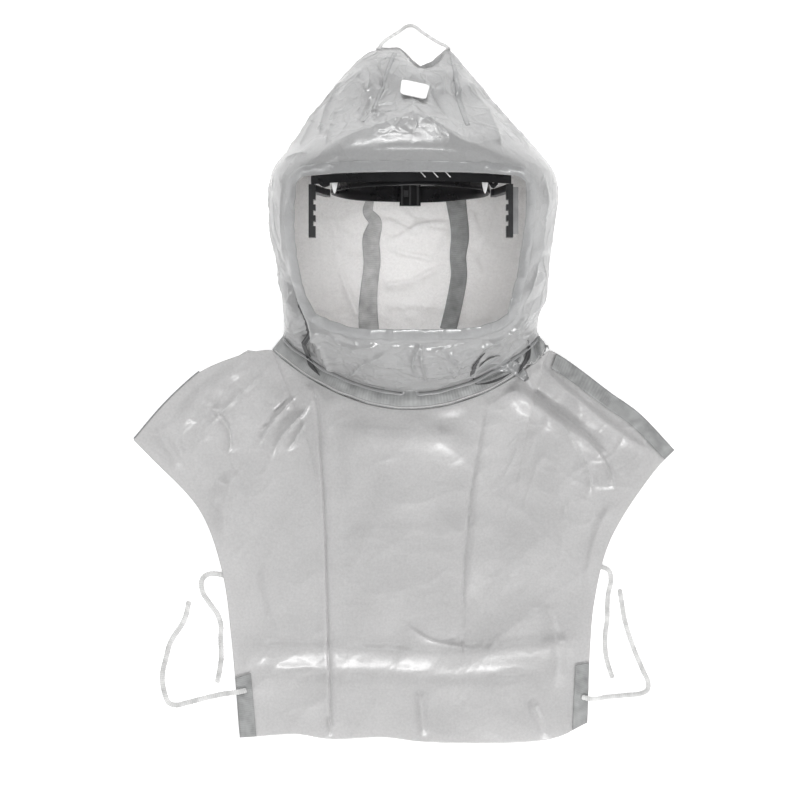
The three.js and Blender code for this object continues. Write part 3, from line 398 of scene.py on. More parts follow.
def floorMaterial():
    material, tree = newMaterial("table")
    place = addNode(tree, "ShaderNodeTexCoord").outputs["Object"]
    grain = addNode(tree, "ShaderNodeTexNoise", {"Vector": place, "Scale": 30, "Detail": 2})
    shade = ramp(tree, grain.outputs["Fac"], [(0.3, 0.93), (0.7, 0.95)])
    face = addNode(tree, "ShaderNodeBsdfPrincipled", {"Base Color": shade, "Roughness": 0.8, "Specular IOR Level": 0.1,
                                                            "Emission Color": (1, 1, 1, 1), "Emission Strength": 0.48})
    addNode(tree, "ShaderNodeOutputMaterial", {"Surface": face.outputs[0]})
    return material


hoodOutside = clothMaterial("hoodOutside", {"polish": 0.2, "draw": (1.0, 0.45, 0.8), "colour": (0.38, 0.385, 0.39), "glow": (0.9, 0.89, 0.88), "fibre": 420, "crease": 20,
                                            "rough": 0.3, "shine": 0.6, "film": 0.8, "thin": 0.24, "grain": 0.3, "crisp": 0.7})
hoodInside = clothMaterial("hoodInside", {"polish": 0.2, "draw": (0.6, 1.0, 1.0), "colour": (0.985, 0.965, 0.955), "glow": (0.98, 0.96, 0.95), "fibre": 420, "crease": 12,
                                          "rough": 0.55, "shine": 0.3, "film": 0.0, "thin": 0.2, "grain": 0.2, "crisp": 0.18})
bibOutside = clothMaterial("bibOutside", {"polish": 0.24, "draw": (1.0, 0.7, 1.0), "colour": (0.645, 0.64, 0.64), "glow": (0.76, 0.75, 0.75), "fibre": 380, "crease": 9,
                                          "rough": 0.36, "shine": 0.6, "film": 0.35, "thin": 0.2, "grain": 0.5, "crisp": 0.75})
tapeCloth = tapeMaterial("tapeCloth", (0.33, 0.335, 0.335), rough=0.38)
# one inside seam tape made in two copies: painted shade on the darker copy and painted light on the lighter one, as the
# light falls inside the hood
tapeInside = tapeMaterial("tapeInside", (0.25, 0.255, 0.255))
tapeInsidePaintedLit = tapeMaterial("tapeInsidePaintedLit", (0.42, 0.42, 0.42))
# painted shadow: a near-black copy of the tape, for the strips that stand in for the shade in the neck's folds
paintedShadowTape = tapeMaterial("paintedShadowTape", (0.07, 0.07, 0.072))
ribbonCloth = tapeMaterial("ribbonCloth", (0.66, 0.66, 0.655), ribs=900, rough=0.7, depth=0.5)
labelCloth = mouldedMaterial("labelCloth", (0.92, 0.92, 0.92), 0.45, 0.3)
visorClear = clearMaterial("visorClear")
blackPlastic = mouldedMaterial("blackPlastic", (0.006, 0.006, 0.007), 0.3, shine=0.28)
darkPlastic = mouldedMaterial("darkPlastic", (0.03, 0.03, 0.032), 0.35, shine=0.35)
greyPlastic = mouldedMaterial("greyPlastic", (0.3, 0.3, 0.305), 0.4)
# pale plastic for the pegs, and also the painted highlight on the bar's ribs
whitePlasticAndPaintedGlint = mouldedMaterial("whitePlasticAndPaintedGlint", (0.7, 0.7, 0.7), 0.35)
print("materials made")


# Ties and hang loop: white ribbons along their real routes
ribbons = {
    "width": 6.0, "thickness": 0.9, "loopWidth": 4.0, "loopThickness": 1.2,
    "tie_front_left": [(-179, -318, 8.9), (-188, -320, 8.9), (-195, -321, 7.9), (-205, -323, 2.6), (-216, -325.5, 0.9),
                       (-242, -332, 0.9), (-257, -335.5, 0.9), (-265, -333, 0.9), (-269, -325, 0.9), (-272, -311, 0.9),
                       (-272, -300, 0.9), (-268, -283, 0.9), (-264, -268, 0.9), (-257, -256, 0.9), (-252, -249, 0.9),
                       (-247, -239, 0.9), (-244.5, -229, 0.9), (-243, -221, 0.9)],
    "tie_front_right": [(188, -325.5, 8.5), (197, -327.5, 8.3), (205, -328, 5.4), (213, -327, 1.8), (223, -326, 0.9),
                        (240, -324.5, 0.9), (253, -323, 0.9), (261, -319, 0.9), (262, -311, 0.9), (256, -297, 0.9),
                        (247, -276, 0.9), (241, -259, 0.9), (236, -242, 0.9), (233, -224, 0.9), (230.5, -208, 0.9)],
    "tie_back_left": [(-190, -196, 2.6), (-199, -194, 2.4), (-208, -192, 0.9), (-216, -191, 0.9), (-224, -192.5, 0.9),
                      (-229, -199, 0.9), (-228, -211, 0.9), (-220, -224, 0.9), (-212, -235, 0.9), (-208, -247, 0.9),
                      (-208, -262, 0.9), (-207.5, -283, 0.9), (-209, -296, 0.9), (-212, -311, 0.9)],
    "tie_back_right": [(196, -186, 2.6), (204, -185, 2.4), (212, -184, 0.9), (219, -188, 0.9), (221, -199, 0.9),
                       (218, -213, 0.9), (217, -226, 0.9), (217, -240, 0.9), (215, -255, 0.9), (214.5, -270, 0.9),
                       (216, -284, 0.9), (221, -301, 0.9), (223, -306, 0.9)],
    "hang_loop": [(-33, 372.2, 89), (-31, 377, 84), (-26, 386, 62), (-18, 396, 33), (-10, 405, 10), (-3, 411, 2.4),
                  (4, 411, 2.4), (12, 404, 10), (22, 393, 34), (32, 382, 62), (38, 376, 82), (40, 372.2, 89)],
}


def addRibbon(name, width, thickness, crimp):
    line = smoothLine(ribbons[name], per=30)
    length = lineLength(line)
    count = int(length / 0.9)
    line = along(line, np.linspace(0, 1, count))
    ahead = np.gradient(line, axis=0)
    ahead /= np.linalg.norm(ahead, axis=1)[:, None]
    sideways = np.cross([0, 0, 1.0], ahead)
    sideways /= np.linalg.norm(sideways, axis=1)[:, None]
    up = np.cross(ahead, sideways)
    run = np.linspace(0, length, count)
    pinch = 1 - crimp * (0.5 + 0.5 * np.sin(run * 2 * math.pi / 3.4)) * 0.22
    ends = np.minimum(1, np.minimum(run, length - run) / 1.2 + 0.5)
    angles = np.linspace(0, 2 * math.pi, 12, endpoint=False)
    section = np.stack([np.sign(np.cos(angles)) * np.abs(np.cos(angles)) ** 0.35, np.sign(np.sin(angles)) * np.abs(np.sin(angles)) ** 0.8], -1)
    points = (line[:, None, :]
              + sideways[:, None, :] * (section[None, :, 0] * width / 2 * (pinch * ends)[:, None])[..., None]
              + up[:, None, :] * (section[None, :, 1] * thickness / 2)[..., None])
    marks = np.stack([np.repeat(section[None, :, 0] * width / 2000, count, 0), np.repeat(run[:, None] / 1000, 12, 1)], -1)
    faces = gridFaces(count, 12, ring=True).tolist()
    faces += [list(range(12))[::-1], [(count - 1) * 12 + k for k in range(12)]]
    piece = addMesh(name + "_ribbon", points.reshape(-1, 3), faces, [ribbonCloth], marks=marks.reshape(-1, 2))
    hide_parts(name)
    return piece


for name, crimp in (("tie_front_left", 0.4), ("tie_front_right", 1.0), ("tie_back_left", 0.4), ("tie_back_right", 1.0)):
    addRibbon(name, ribbons["width"], ribbons["thickness"], crimp)
addRibbon("hang_loop", ribbons["loopWidth"], ribbons["loopThickness"], 0.0)
print("ties and loop laid")


# The hood's surface: sections from the neck rim to the crown
hood = {
    "width": 304.0, "length": 300.0, "depth": 240.0, "neckBack": 70.0, "chinDrop": 60.0, "waist": 0.34, "backFlat": 3.2,
    "backSeam": 90.0, "browSeam": 132.0, "crownSeam": 58.0, "crownShift": 14.0, "crownSag": 20.0,
    "rows": 400, "columns": 600, "cloth": 0.9, "foldRise": 1.6, "foldWidth": 1.5, "facet": 4.6,
}
# along, left, right, low, high, drop, full
sections = np.array([
    (0, 0.91, 0.92, 0, 0.14, 1, 2.3), (0.003, 0.91, 0.92, 0, 0.26, 0.97, 2.3), (0.008, 0.9, 0.91, 0, 0.41, 0.8, 2.3),
    (0.016, 0.89, 0.9, 0, 0.54, 0.53, 2.4), (0.034, 0.885, 0.9, 0, 0.65, 0.23, 2.5), (0.07, 0.89, 0.91, 0, 0.71, 0.06, 2.6),
    (0.13, 0.905, 0.945, 0, 0.76, 0, 2.6), (0.25, 0.94, 0.975, 0, 0.84, 0, 2.6), (0.365, 0.985, 1.005, 0, 0.915, 0, 2.6),
    (0.463, 0.985, 1.02, 0, 0.965, 0, 2.6), (0.537, 0.974, 1.013, 0, 0.99, 0, 2.6), (0.587, 0.938, 0.967, 0, 0.985, 0, 2.5),
    (0.65, 0.842, 0.866, 0, 0.93, 0, 2.4), (0.715, 0.762, 0.762, 0, 0.855, 0, 2.2), (0.783, 0.678, 0.651, 0.005, 0.77, 0, 2.1),
    (0.857, 0.572, 0.533, 0.06, 0.68, 0, 2.1), (0.917, 0.47, 0.43, 0.15, 0.59, 0, 2.1), (0.96, 0.385, 0.355, 0.24, 0.51, 0, 2.2),
    (0.989, 0.31, 0.31, 0.31, 0.44, 0, 2.3), (1, 0.24, 0.28, 0.345, 0.405, 0, 2.4)])


def readSections(share):
    place = np.clip(share, 0, 1) * (len(sections) - 1)
    i = np.minimum(place.astype(int), len(sections) - 2)
    f = (place - i)[..., None]
    before, a = sections[np.maximum(i - 1, 0)], sections[i]
    b, after = sections[i + 1], sections[np.minimum(i + 2, len(sections) - 1)]
    m1, m2 = (b - before) / 2, (after - a) / 2
    return (2 * f ** 3 - 3 * f ** 2 + 1) * a + (f ** 3 - 2 * f ** 2 + f) * m1 + (3 * f ** 2 - 2 * f ** 3) * b + (f ** 3 - f ** 2) * m2


def hoodPoints(turn, share):
    turn, share = np.broadcast_arrays(np.asarray(turn, float), np.asarray(share, float))
    s = readSections(share)
    low, high = np.maximum(s[..., 3], 0) * hood["depth"], s[..., 4] * hood["depth"]
    waist = mix(low, high, hood["waist"])
    cos, sin = np.cos(turn), np.sin(turn)
    front = sin > 0
    power = 2 / np.where(front, s[..., 6], hood["backFlat"])
    side = np.where(cos < 0, s[..., 1], s[..., 2]) * hood["width"] / 2
    x = np.sign(cos) * side * np.abs(cos) ** power
    rise = np.abs(sin) ** power
    z = np.where(front, waist + (high - waist) * rise, waist - (waist - low) * rise)
    drop = np.where(front, s[..., 5] * hood["chinDrop"] * (1 - (x / side) ** 2), 0)
    across = np.abs(x - hood["crownShift"]) / (hood["crownSeam"] / 2)
    dip = np.where(across < 1, hood["crownSag"] * np.cos(np.pi / 2 * np.minimum(across, 1)) ** 2 * smooth(share, 0.8, 1), 0)
    return np.stack([x, hood["neckBack"] + s[..., 0] * hood["length"] - drop - dip, z], -1)


def hoodNormals(turn, share):
    step = 0.004
    around = hoodPoints(turn + step, share) - hoodPoints(turn - step, share)
    up = hoodPoints(turn, np.minimum(share + step, 1)) - hoodPoints(turn, np.maximum(share - step, 0))
    n = np.cross(around, up)
    n /= np.maximum(np.linalg.norm(n, axis=-1), 1e-9)[..., None]
    p = hoodPoints(turn, share)
    out = n[..., 0] * p[..., 0] + n[..., 2] * (p[..., 2] - hood["waist"] * hood["depth"] / 2)
    return np.where(out[..., None] < 0, -n, n)


def hoodPlace(x, y, onBack=False):
    # the turn and share of the surface over a spot of the plan
    x, y = np.asarray(x, float), np.asarray(y, float)
    below, above = np.zeros(x.shape), np.ones(x.shape)
    for _ in range(24):
        share = (below + above) / 2
        s = readSections(share)
        side = np.where(x < 0, s[..., 1], s[..., 2]) * hood["width"] / 2
        out = np.clip(np.abs(x) / side, 0, 1)
        power = hood["backFlat"] if onBack else s[..., 6]
        turn = np.arccos(np.sign(x) * out ** (power / 2))
        turn = -turn if onBack else turn
        short = hoodPoints(turn, share)[..., 1] < y
        below, above = np.where(short, share, below), np.where(short, above, share)
    return turn, share


def seamX(side, y, onBack):
    up = np.clip((np.asarray(y, float) - hood["neckBack"]) / hood["length"], 0, 1)
    start = hood["backSeam"] if onBack else hood["browSeam"]
    startUp = 0 if onBack else (window["top"] - hood["neckBack"]) / hood["length"]
    share = np.clip((up - startUp) / (1 - startUp), 0, 1)
    return mix(side * start / 2, hood["crownShift"] + side * hood["crownSeam"] / 2, share)


# Window: its edge in plan, and how far a spot lies outside it
window = {"bottom": 74.0, "height": 152.0, "width": 238.0, "corner": 13.0, "binding": 10.0, "top": 226.0, "lap": 6.0}
windowShares = np.array([(0, 0.5, 0.55), (0.05, 0.7, 0.76), (0.1, 0.83, 0.84), (0.2, 0.9, 0.875), (0.38, 0.965, 0.925),
                         (0.6, 1, 0.965), (0.8, 0.995, 0.985), (1, 0.975, 0.985)])


def windowLine(margin, count=400):
    ups = np.linspace(0, 1, 41)
    y = window["bottom"] + ups * window["height"]
    right = np.interp(ups, windowShares[:, 0], windowShares[:, 2]) * window["width"] / 2
    left = -np.interp(ups, windowShares[:, 0], windowShares[:, 1]) * window["width"] / 2
    r = window["corner"]
    kept = y <= window["top"] - r
    rightEdge, leftEdge = right[kept][-1], left[kept][-1]
    angles = np.linspace(0, math.pi / 2, 5)[1:]
    arcRight = [(rightEdge - r + r * math.cos(a), window["top"] - r + r * math.sin(a)) for a in angles]
    arcLeft = [(leftEdge + r - r * math.sin(a), window["top"] - r + r * math.cos(a)) for a in angles[:-1]]
    corners = list(zip(right[kept], y[kept])) + arcRight + [(leftEdge + r, window["top"])] + arcLeft + list(zip(left[kept], y[kept]))[::-1]
    line = smoothLine(corners, closed=True, per=10)
    line = np.vstack([line, line[:1]])
    even = along(line, np.linspace(0, 1, count, endpoint=False))
    ahead = np.roll(even, -1, 0) - np.roll(even, 1, 0)
    ahead /= np.linalg.norm(ahead, axis=1)[:, None]
    return even + np.stack([ahead[:, 1], -ahead[:, 0]], -1) * margin


def outsideWindow(x, y):
    # distance to the window's edge in plan, negative inside it
    line = windowLine(0, 200)
    ends = np.roll(line, -1, 0)
    near = np.full(np.shape(x), 1e9)
    crossings = np.zeros(np.shape(x), int)
    for a, b in zip(line, ends):
        d = b - a
        t = np.clip(((x - a[0]) * d[0] + (y - a[1]) * d[1]) / max(float(d @ d), 1e-9), 0, 1)
        near = np.minimum(near, np.hypot(x - a[0] - t * d[0], y - a[1] - t * d[1]))
        if a[1] != b[1]:
            crossings += ((a[1] > y) != (b[1] > y)) & (x < a[0] + (y - a[1]) / (b[1] - a[1]) * d[0])
    return np.where(crossings % 2 == 1, -near, near)


# Folds of the hood, along points of the picture; width is one or two numbers for the two sides of a fold
hoodFolds = [
    # crown, left: long ridges down to the brow's end
    {"run": [(344, 80), (325, 104), (305, 130), (287, 152)], "at": 120, "rise": 2.0, "width": (1.4, 2.6), "sharp": True, "ease": 0.1},
    {"run": [(337, 90), (328, 110), (321, 140)], "at": 140, "rise": 2.4, "width": (1.4, 2.6), "sharp": True, "ease": 0.15},
    {"run": [(319, 116), (311, 134), (302, 153)], "at": 120, "rise": 2.0, "width": (1.4, 2.4), "sharp": True, "ease": 0.15},
    {"run": [(336, 104), (333, 122), (329, 152)], "at": 160, "rise": 1.6, "width": (1.8, 4.0), "sharp": True, "ease": 0.15},
    {"run": [(335, 159), (346, 160.5), (360, 162)], "at": 205, "rise": 1.0, "width": (1.4, 2.0), "sharp": True},
    {"run": [(283, 162), (296, 158), (310, 157)], "at": 160, "rise": 1.6, "width": (1.4, 2.4), "sharp": True},
    # crown, middle: the crumpled patch under the label
    {"run": [(363, 108), (372, 106), (382, 110), (397, 111)], "at": 185, "rise": -2.2, "width": (1.5, 2.2), "sharp": True},
    {"run": [(360, 127), (361, 114), (366, 100), (370, 88)], "at": 180, "rise": -2.0, "width": (1.6, 3.0), "sharp": True},
    {"run": [(368, 118), (384, 116), (400, 112)], "at": 190, "rise": 1.6, "width": (1.4, 3.0), "sharp": True},
    {"run": [(372, 103), (386, 98), (398, 100)], "at": 180, "rise": 1.5, "width": (1.4, 2.6), "sharp": True},
    {"run": [(366, 60), (370, 76), (365, 92)], "at": 150, "rise": 1.8, "width": (1.6, 4.0), "sharp": True},
    {"run": [(375, 60), (381, 72), (378, 88)], "at": 145, "rise": -1.6, "width": (2.0, 3.0), "sharp": True},
    # crown, right: the ridge from the label to the brow, and the long bright edge
    {"run": [(413, 106), (418, 116), (428, 126), (446, 136), (462, 142)], "at": 195, "rise": 2.2, "width": (1.4, 5.0), "sharp": True},
    {"run": [(432, 76), (436, 90), (441, 104), (446, 118)], "at": 170, "rise": -1.8, "width": (2.0, 3.0), "sharp": True},
    {"run": [(449, 60), (446, 76), (445, 92)], "at": 150, "rise": 2.0, "width": (1.5, 4.0), "sharp": True},
    {"run": [(458, 66), (455, 82), (462, 96), (464, 106)], "at": 155, "rise": -2.2, "width": (2.0, 4.0), "sharp": True},
    {"run": [(469, 76), (477, 90), (488, 118), (499, 152)], "at": 165, "rise": 2.4, "width": (1.4, 5.0), "sharp": True, "ease": 0.1},
    {"run": [(489, 94), (508, 122), (528, 152)], "at": 135, "rise": 1.6, "width": (1.4, 3.0), "sharp": True, "ease": 0.1},
    {"run": [(496, 99), (512, 119), (526, 136), (539, 152)], "at": 105, "rise": 2.2, "width": (1.4, 2.4), "sharp": True, "ease": 0.08},
    # sides
    {"run": [(288, 170), (282, 210), (284, 260), (292, 300)], "at": 150, "rise": 2.2, "width": (2.0, 3.0), "sharp": True},
    {"run": [(277, 200), (276, 240), (283, 280)], "at": 100, "rise": -3, "width": (5,)},
    {"run": [(540, 175), (545, 215), (540, 255), (530, 290)], "at": 140, "rise": 2.2, "width": (2.0, 3.0), "sharp": True},
    {"run": [(549, 205), (548, 245), (540, 280)], "at": 110, "rise": -3, "width": (5,)},
    {"run": [(534, 230), (530, 262), (520, 292), (500, 318)], "at": 165, "rise": 1.8, "width": (1.6, 2.6), "sharp": True},
    # deep fold from the left cheek down to the collar
    {"run": [(285, 256), (289, 280), (293, 300), (299, 322), (306, 345), (314, 366)], "at": 90, "rise": -9, "width": (6, 5), "ease": 0.3},
    {"run": [(292, 262), (301, 292), (311, 322), (322, 346)], "at": 110, "rise": 5, "width": (4,), "ease": 0.2},
    # chin, left: bows round the window's lower corner
    {"run": [(314, 320), (333, 332), (352, 339.5), (378, 340)], "at": 145, "rise": 2.2, "width": (1.4, 2.8), "sharp": True, "ease": 0.15},
    {"run": [(318, 328), (331, 336), (341, 343), (356, 346.5), (380, 345)], "at": 135, "rise": 2.4, "width": (1.4, 3.0), "sharp": True, "ease": 0.15},
    {"run": [(312, 330), (321, 348), (326, 362), (336, 374), (344, 375)], "at": 105, "rise": 3.0, "width": (1.6, 3.2), "sharp": True, "ease": 0.12},
    {"run": [(344, 380), (360, 367), (378, 357), (392, 352)], "at": 105, "rise": 2.2, "width": (1.4, 2.4), "sharp": True},
    {"run": [(334, 358), (352, 363), (374, 362)], "at": 115, "rise": -2.2, "width": (4, 5)},
    # chin, middle: a pinched fold under the window
    {"run": [(421, 345), (413, 358), (413, 368), (420, 378)], "at": 100, "rise": 2.4, "width": (1.4, 2.0), "sharp": True, "ease": 0.1},
    {"run": [(421, 346), (421, 362), (427, 382)], "at": 95, "rise": 2.4, "width": (1.4, 2.0), "sharp": True, "ease": 0.1},
    {"run": [(380, 346), (404, 344.5), (425, 345.5), (446, 342)], "at": 140, "rise": -1.8, "width": (1.6, 3.0), "sharp": True},
    # chin, right: bows up to the window's corner, and small crumples over the collar
    {"run": [(436, 340), (458, 330), (480, 326), (500, 320)], "at": 155, "rise": 2.4, "width": (1.4, 2.6), "sharp": True, "ease": 0.15},
    {"run": [(446, 326), (466, 322), (490, 318), (508, 306)], "at": 170, "rise": 1.8, "width": (1.4, 2.2), "sharp": True, "ease": 0.15},
    {"run": [(438, 346), (446, 356), (456, 366), (460, 380)], "at": 100, "rise": 2.2, "width": (1.4, 2.8), "sharp": True},
    {"run": [(448, 352), (458, 360), (466, 372)], "at": 100, "rise": 2.0, "width": (1.4, 2.2), "sharp": True},
    {"run": [(444, 366), (452, 372), (456, 382)], "at": 85, "rise": 1.8, "width": (1.4, 2.0), "sharp": True},
    {"run": [(477, 362), (494, 350), (511, 341), (526, 330)], "at": 110, "rise": -3.4, "width": (2.4, 3.6)},
    {"run": [(470, 352), (488, 344), (508, 334), (526, 316)], "at": 130, "rise": 2.6, "width": (1.6, 3.0), "sharp": True},
    {"run": [(486, 364), (500, 358), (518, 346), (530, 336)], "at": 90, "rise": 3.0, "width": (1.6, 3.0), "sharp": True},
]
hoodDents = [
    {"spot": (390, 88), "size": (30, 22), "rise": -7, "at": 160},
    {"spot": (448, 100), "size": (26, 26), "rise": -6, "at": 160},
    {"spot": (425, 78), "size": (16, 16), "rise": -4, "at": 140},
    {"spot": (484, 128), "size": (16, 26), "rise": 4, "at": 180},
    {"spot": (400, 150), "size": (90, 14), "rise": 2, "at": 220},
]
# wrinkles of the back wall, seen through the window
backFolds = [
    {"run": [(388, 242), (404, 234), (418, 226), (436, 223), (452, 223)], "rise": 5.5, "width": (2.5, 6), "sharp": True},
    {"run": [(382, 216), (396, 224), (410, 231), (420, 240)], "rise": 5, "width": (3, 5), "sharp": True},
    {"run": [(384, 246), (404, 254), (424, 258), (440, 264)], "rise": 6, "width": (6, 3), "sharp": True},
    {"run": [(376, 287), (396, 284), (412, 281), (430, 272), (450, 260)], "rise": 6, "width": (3, 7), "sharp": True},
    {"run": [(418, 226), (434, 230), (452, 234)], "rise": 4, "width": (3,), "sharp": True},
    {"run": [(335, 225), (350, 236), (364, 240)], "rise": 4, "width": (4,), "sharp": True},
    {"run": [(336, 246), (352, 256), (366, 262)], "rise": 3.5, "width": (4,), "sharp": True},
    {"run": [(344, 280), (352, 300), (360, 322)], "rise": 4, "width": (3, 6), "sharp": True},
    {"run": [(470, 210), (476, 226), (484, 240)], "rise": 4, "width": (4,), "sharp": True},
    {"run": [(466, 248), (476, 262), (482, 276)], "rise": 3.5, "width": (4,), "sharp": True},
    {"run": [(380, 308), (410, 304), (440, 308)], "rise": 3.5, "width": (5,)},
]
# where the back wall turns up into the sides
backEdges = [
    {"run": [(329, 186), (334, 230), (338, 262), (348, 292), (362, 326)], "rise": 3.0, "width": (2.2, 6), "sharp": True, "ease": 0.05},
    {"run": [(496, 186), (488, 226), (474, 262), (464, 296), (458, 326)], "rise": 3.0, "width": (6, 2.2), "sharp": True, "ease": 0.05},
]


# the brow: cloth drawn up from the window to a ridge, and sunk behind it
brow = {"ridge": [(296, 166), (318, 156), (330, 147), (346, 141), (357, 137), (372, 133), (386, 128), (400, 122), (413, 117),
                  (424, 125), (436, 132), (448, 138), (460, 144), (480, 150), (498, 156), (522, 164)],
        "at": 215, "rise": 10.0, "slope": 0.22, "foot": 236.0, "behind": 30.0, "sunk": 2.0, "reach": 40.0}


def browLift(x, y):
    line = seenAt(brow["ridge"], brow["at"])
    ridgeY = np.interp(x, line[:, 0], line[:, 1])
    ends = smooth(x, line[0, 0], line[4, 0]) * (1 - smooth(x, line[-5, 0], line[-1, 0]))
    up = np.clip((y - brow["foot"]) / np.maximum(ridgeY - brow["foot"], 4), 0, 1)
    past = np.maximum(y - ridgeY, 0)
    rise = np.clip(brow["slope"] * (ridgeY - brow["foot"]), 0, brow["rise"])
    front = rise * up
    behind = (rise + brow["sunk"]) * np.clip(1 - past / brow["behind"], 0, 1) - brow["sunk"] * np.exp(-(past / brow["reach"]) ** 2)
    return np.where(past > 0, behind, front) * ends


def hoodCloth(turn, share):
    # the finished cloth surface at a grid of turns and shares
    p = hoodPoints(turn, share)
    n = hoodNormals(turn, share)
    x, y, z = p[..., 0], p[..., 1], p[..., 2]
    front = np.sin(turn) > 0
    height = hood["waist"] * hood["depth"]
    off = np.abs(outsideWindow(x, y))
    outside = outsideWindow(x, y)
    nearWindow = np.where(front & (z > height), smooth(outside, window["binding"] - 1, 1.9 * window["binding"]), 1)
    rim = smooth(share, 0.0, 0.05)
    tip = 1 - smooth(share, 0.93, 1)
    upper = np.clip(np.sin(turn) * 2.2, 0, 1)
    folds = foldLift(x, y, hoodFolds, 150, hood["foldWidth"]) * hood["foldRise"] + dentLift(x, y, hoodDents, 150)
    crown = smooth(y, 256, 282)
    browZone = smooth(y, 222, 236) * (1 - smooth(y, 256, 276))
    chin = 1 - smooth(y, 60, 92)
    lift = folds * upper * nearWindow * rim * (0.25 + 0.75 * tip)
    lift += np.where(front, browLift(x, y), 0) * upper
    lift += facets(p * (1, 0.7, 0.6), 36, 3, 5) * hood["facet"] * crown * upper * (0.3 + 0.7 * tip)
    patch = np.exp(-((x + 26) / 40) ** 2 - ((y - 286) / 18) ** 2) + 0.6 * np.exp(-((x + 44) / 22) ** 2 - ((y - 335) / 18) ** 2)
    lift += facets(p, 12, 5, 4) * 3.2 * patch * upper
    sides = (1 - crown) * (1 - browZone) * (1 - chin) * nearWindow * rim
    lift += facets(p * (0.6, 1, 0.7), 44, 11, 4) * hood["facet"] * sides * np.where(front, 1, 0.6)
    lift += creases(p * (0.22, 1, 1), 26, 17, 2, 8.0, 0.25) * 1.8 * chin * upper * nearWindow * rim
    lift += facets(p * (0.45, 1, 1), 22, 19, 5) * 3.0 * chin * upper * nearWindow * rim
    lift += creases(p * (1, 0.6, 1), 24, 29, 2, 9.0, 0.3) * 0.8 * (1 - 0.8 * browZone) * nearWindow * rim
    lift += 2.4 * np.exp(-(share / 0.012) ** 2) * upper
    lift += gradientNoise(p, 9, 33) * 0.18 * nearWindow * rim
    lift *= np.where(front, 1, 0.55)
    out = p + n * lift[..., None]
    # the back wall lies on the table: its wrinkles stand up from it
    under = ~front
    inner = foldLift(x, y, backFolds, 3) + foldLift(x, y, backEdges, 4) + np.clip(crumple(p, 46, 31, 3), -0.3, 1) * 4.5 + 1.2
    flat = np.clip(-np.sin(turn) * 3 - 0.3, 0, 1)
    out[..., 2] += np.where(under, inner * flat * smooth(share, 0.02, 0.12) * tip, 0)
    out[..., 2] = np.maximum(out[..., 2], 0.4)
    return out


def evenTurns(count):
    turns = np.linspace(0, 2 * math.pi, 4001)
    line = hoodPoints(turns, np.full(turns.shape, 0.45))
    steps = np.linalg.norm(np.diff(line, axis=0), axis=1) * np.where(np.sin(turns[1:]) > 0, 1.8, 1.0)
    run = np.r_[0, np.cumsum(steps)]
    return np.interp(np.linspace(0, run[-1], count, endpoint=False), run, turns)


def buildHood():
    rows, columns = hood["rows"], hood["columns"]
    share = np.linspace(0, 1, rows)[:, None] * np.ones((1, columns))
    turn = evenTurns(columns)[None, :] * np.ones((rows, 1))
    points = hoodCloth(turn, share)
    plain = hoodPoints(turn, share)
    # the crown's seam closes the bag
    closing = []
    last = points[-1]
    middleZ = (last[:, 2].max() + last[:, 2].min()) / 2
    for k, pinch in enumerate((0.5, 0.85, 0.985)):
        row = last.copy()
        row[:, 2] = mix(last[:, 2], middleZ + 1.5 * np.sin(last[:, 0] * 0.35), pinch)
        row[:, 1] += (0.9, 1.8, 3.4)[k]
        closing.append(row)
    points = np.concatenate([points, np.array(closing)])
    plain = np.concatenate([plain, np.array(closing)])
    turn = np.concatenate([turn, np.repeat(turn[-1:], 3, 0)])
    total = len(points)
    faces = gridFaces(total, columns, ring=True)
    flat = plain.reshape(-1, 3)
    centre = flat[faces].mean(1)
    angle = np.sin(turn.reshape(-1)[faces]).mean(1)
    front = angle > 0
    isOpen = front & (centre[:, 2] > hood["waist"] * hood["depth"]) & (outsideWindow(centre[:, 0], centre[:, 1]) < 3.5)
    faces = faces[~isOpen]
    cloth = points.reshape(-1, 3)
    test = faces[len(faces) // 3]
    a, b, c = cloth[test[0]], cloth[test[1]], cloth[test[2]]
    facing = np.cross(b - a, c - a)
    outward = (cloth[test].mean(0) - np.array([0, cloth[test].mean(0)[1], 80]))
    if facing @ outward < 0:
        faces = faces[:, ::-1]
    used, where = np.unique(faces, return_inverse=True)
    piece = addMesh("hoodCloth", cloth[used], where.reshape(faces.shape), [hoodOutside, hoodInside])
    thicken(piece, hood["cloth"], -1, inside=1)
    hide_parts("hood_front_panel", "hood_centre_panel")


buildHood()
print("hood cloth made")


def onCloth(x, y, outwards, onBack=False):
    # a spot of the finished cloth, pushed out along the plain surface's normal
    turn, share = hoodPlace(x, y, onBack)
    return hoodCloth(turn, share) + hoodNormals(turn, share) * np.asarray(outwards)[..., None]


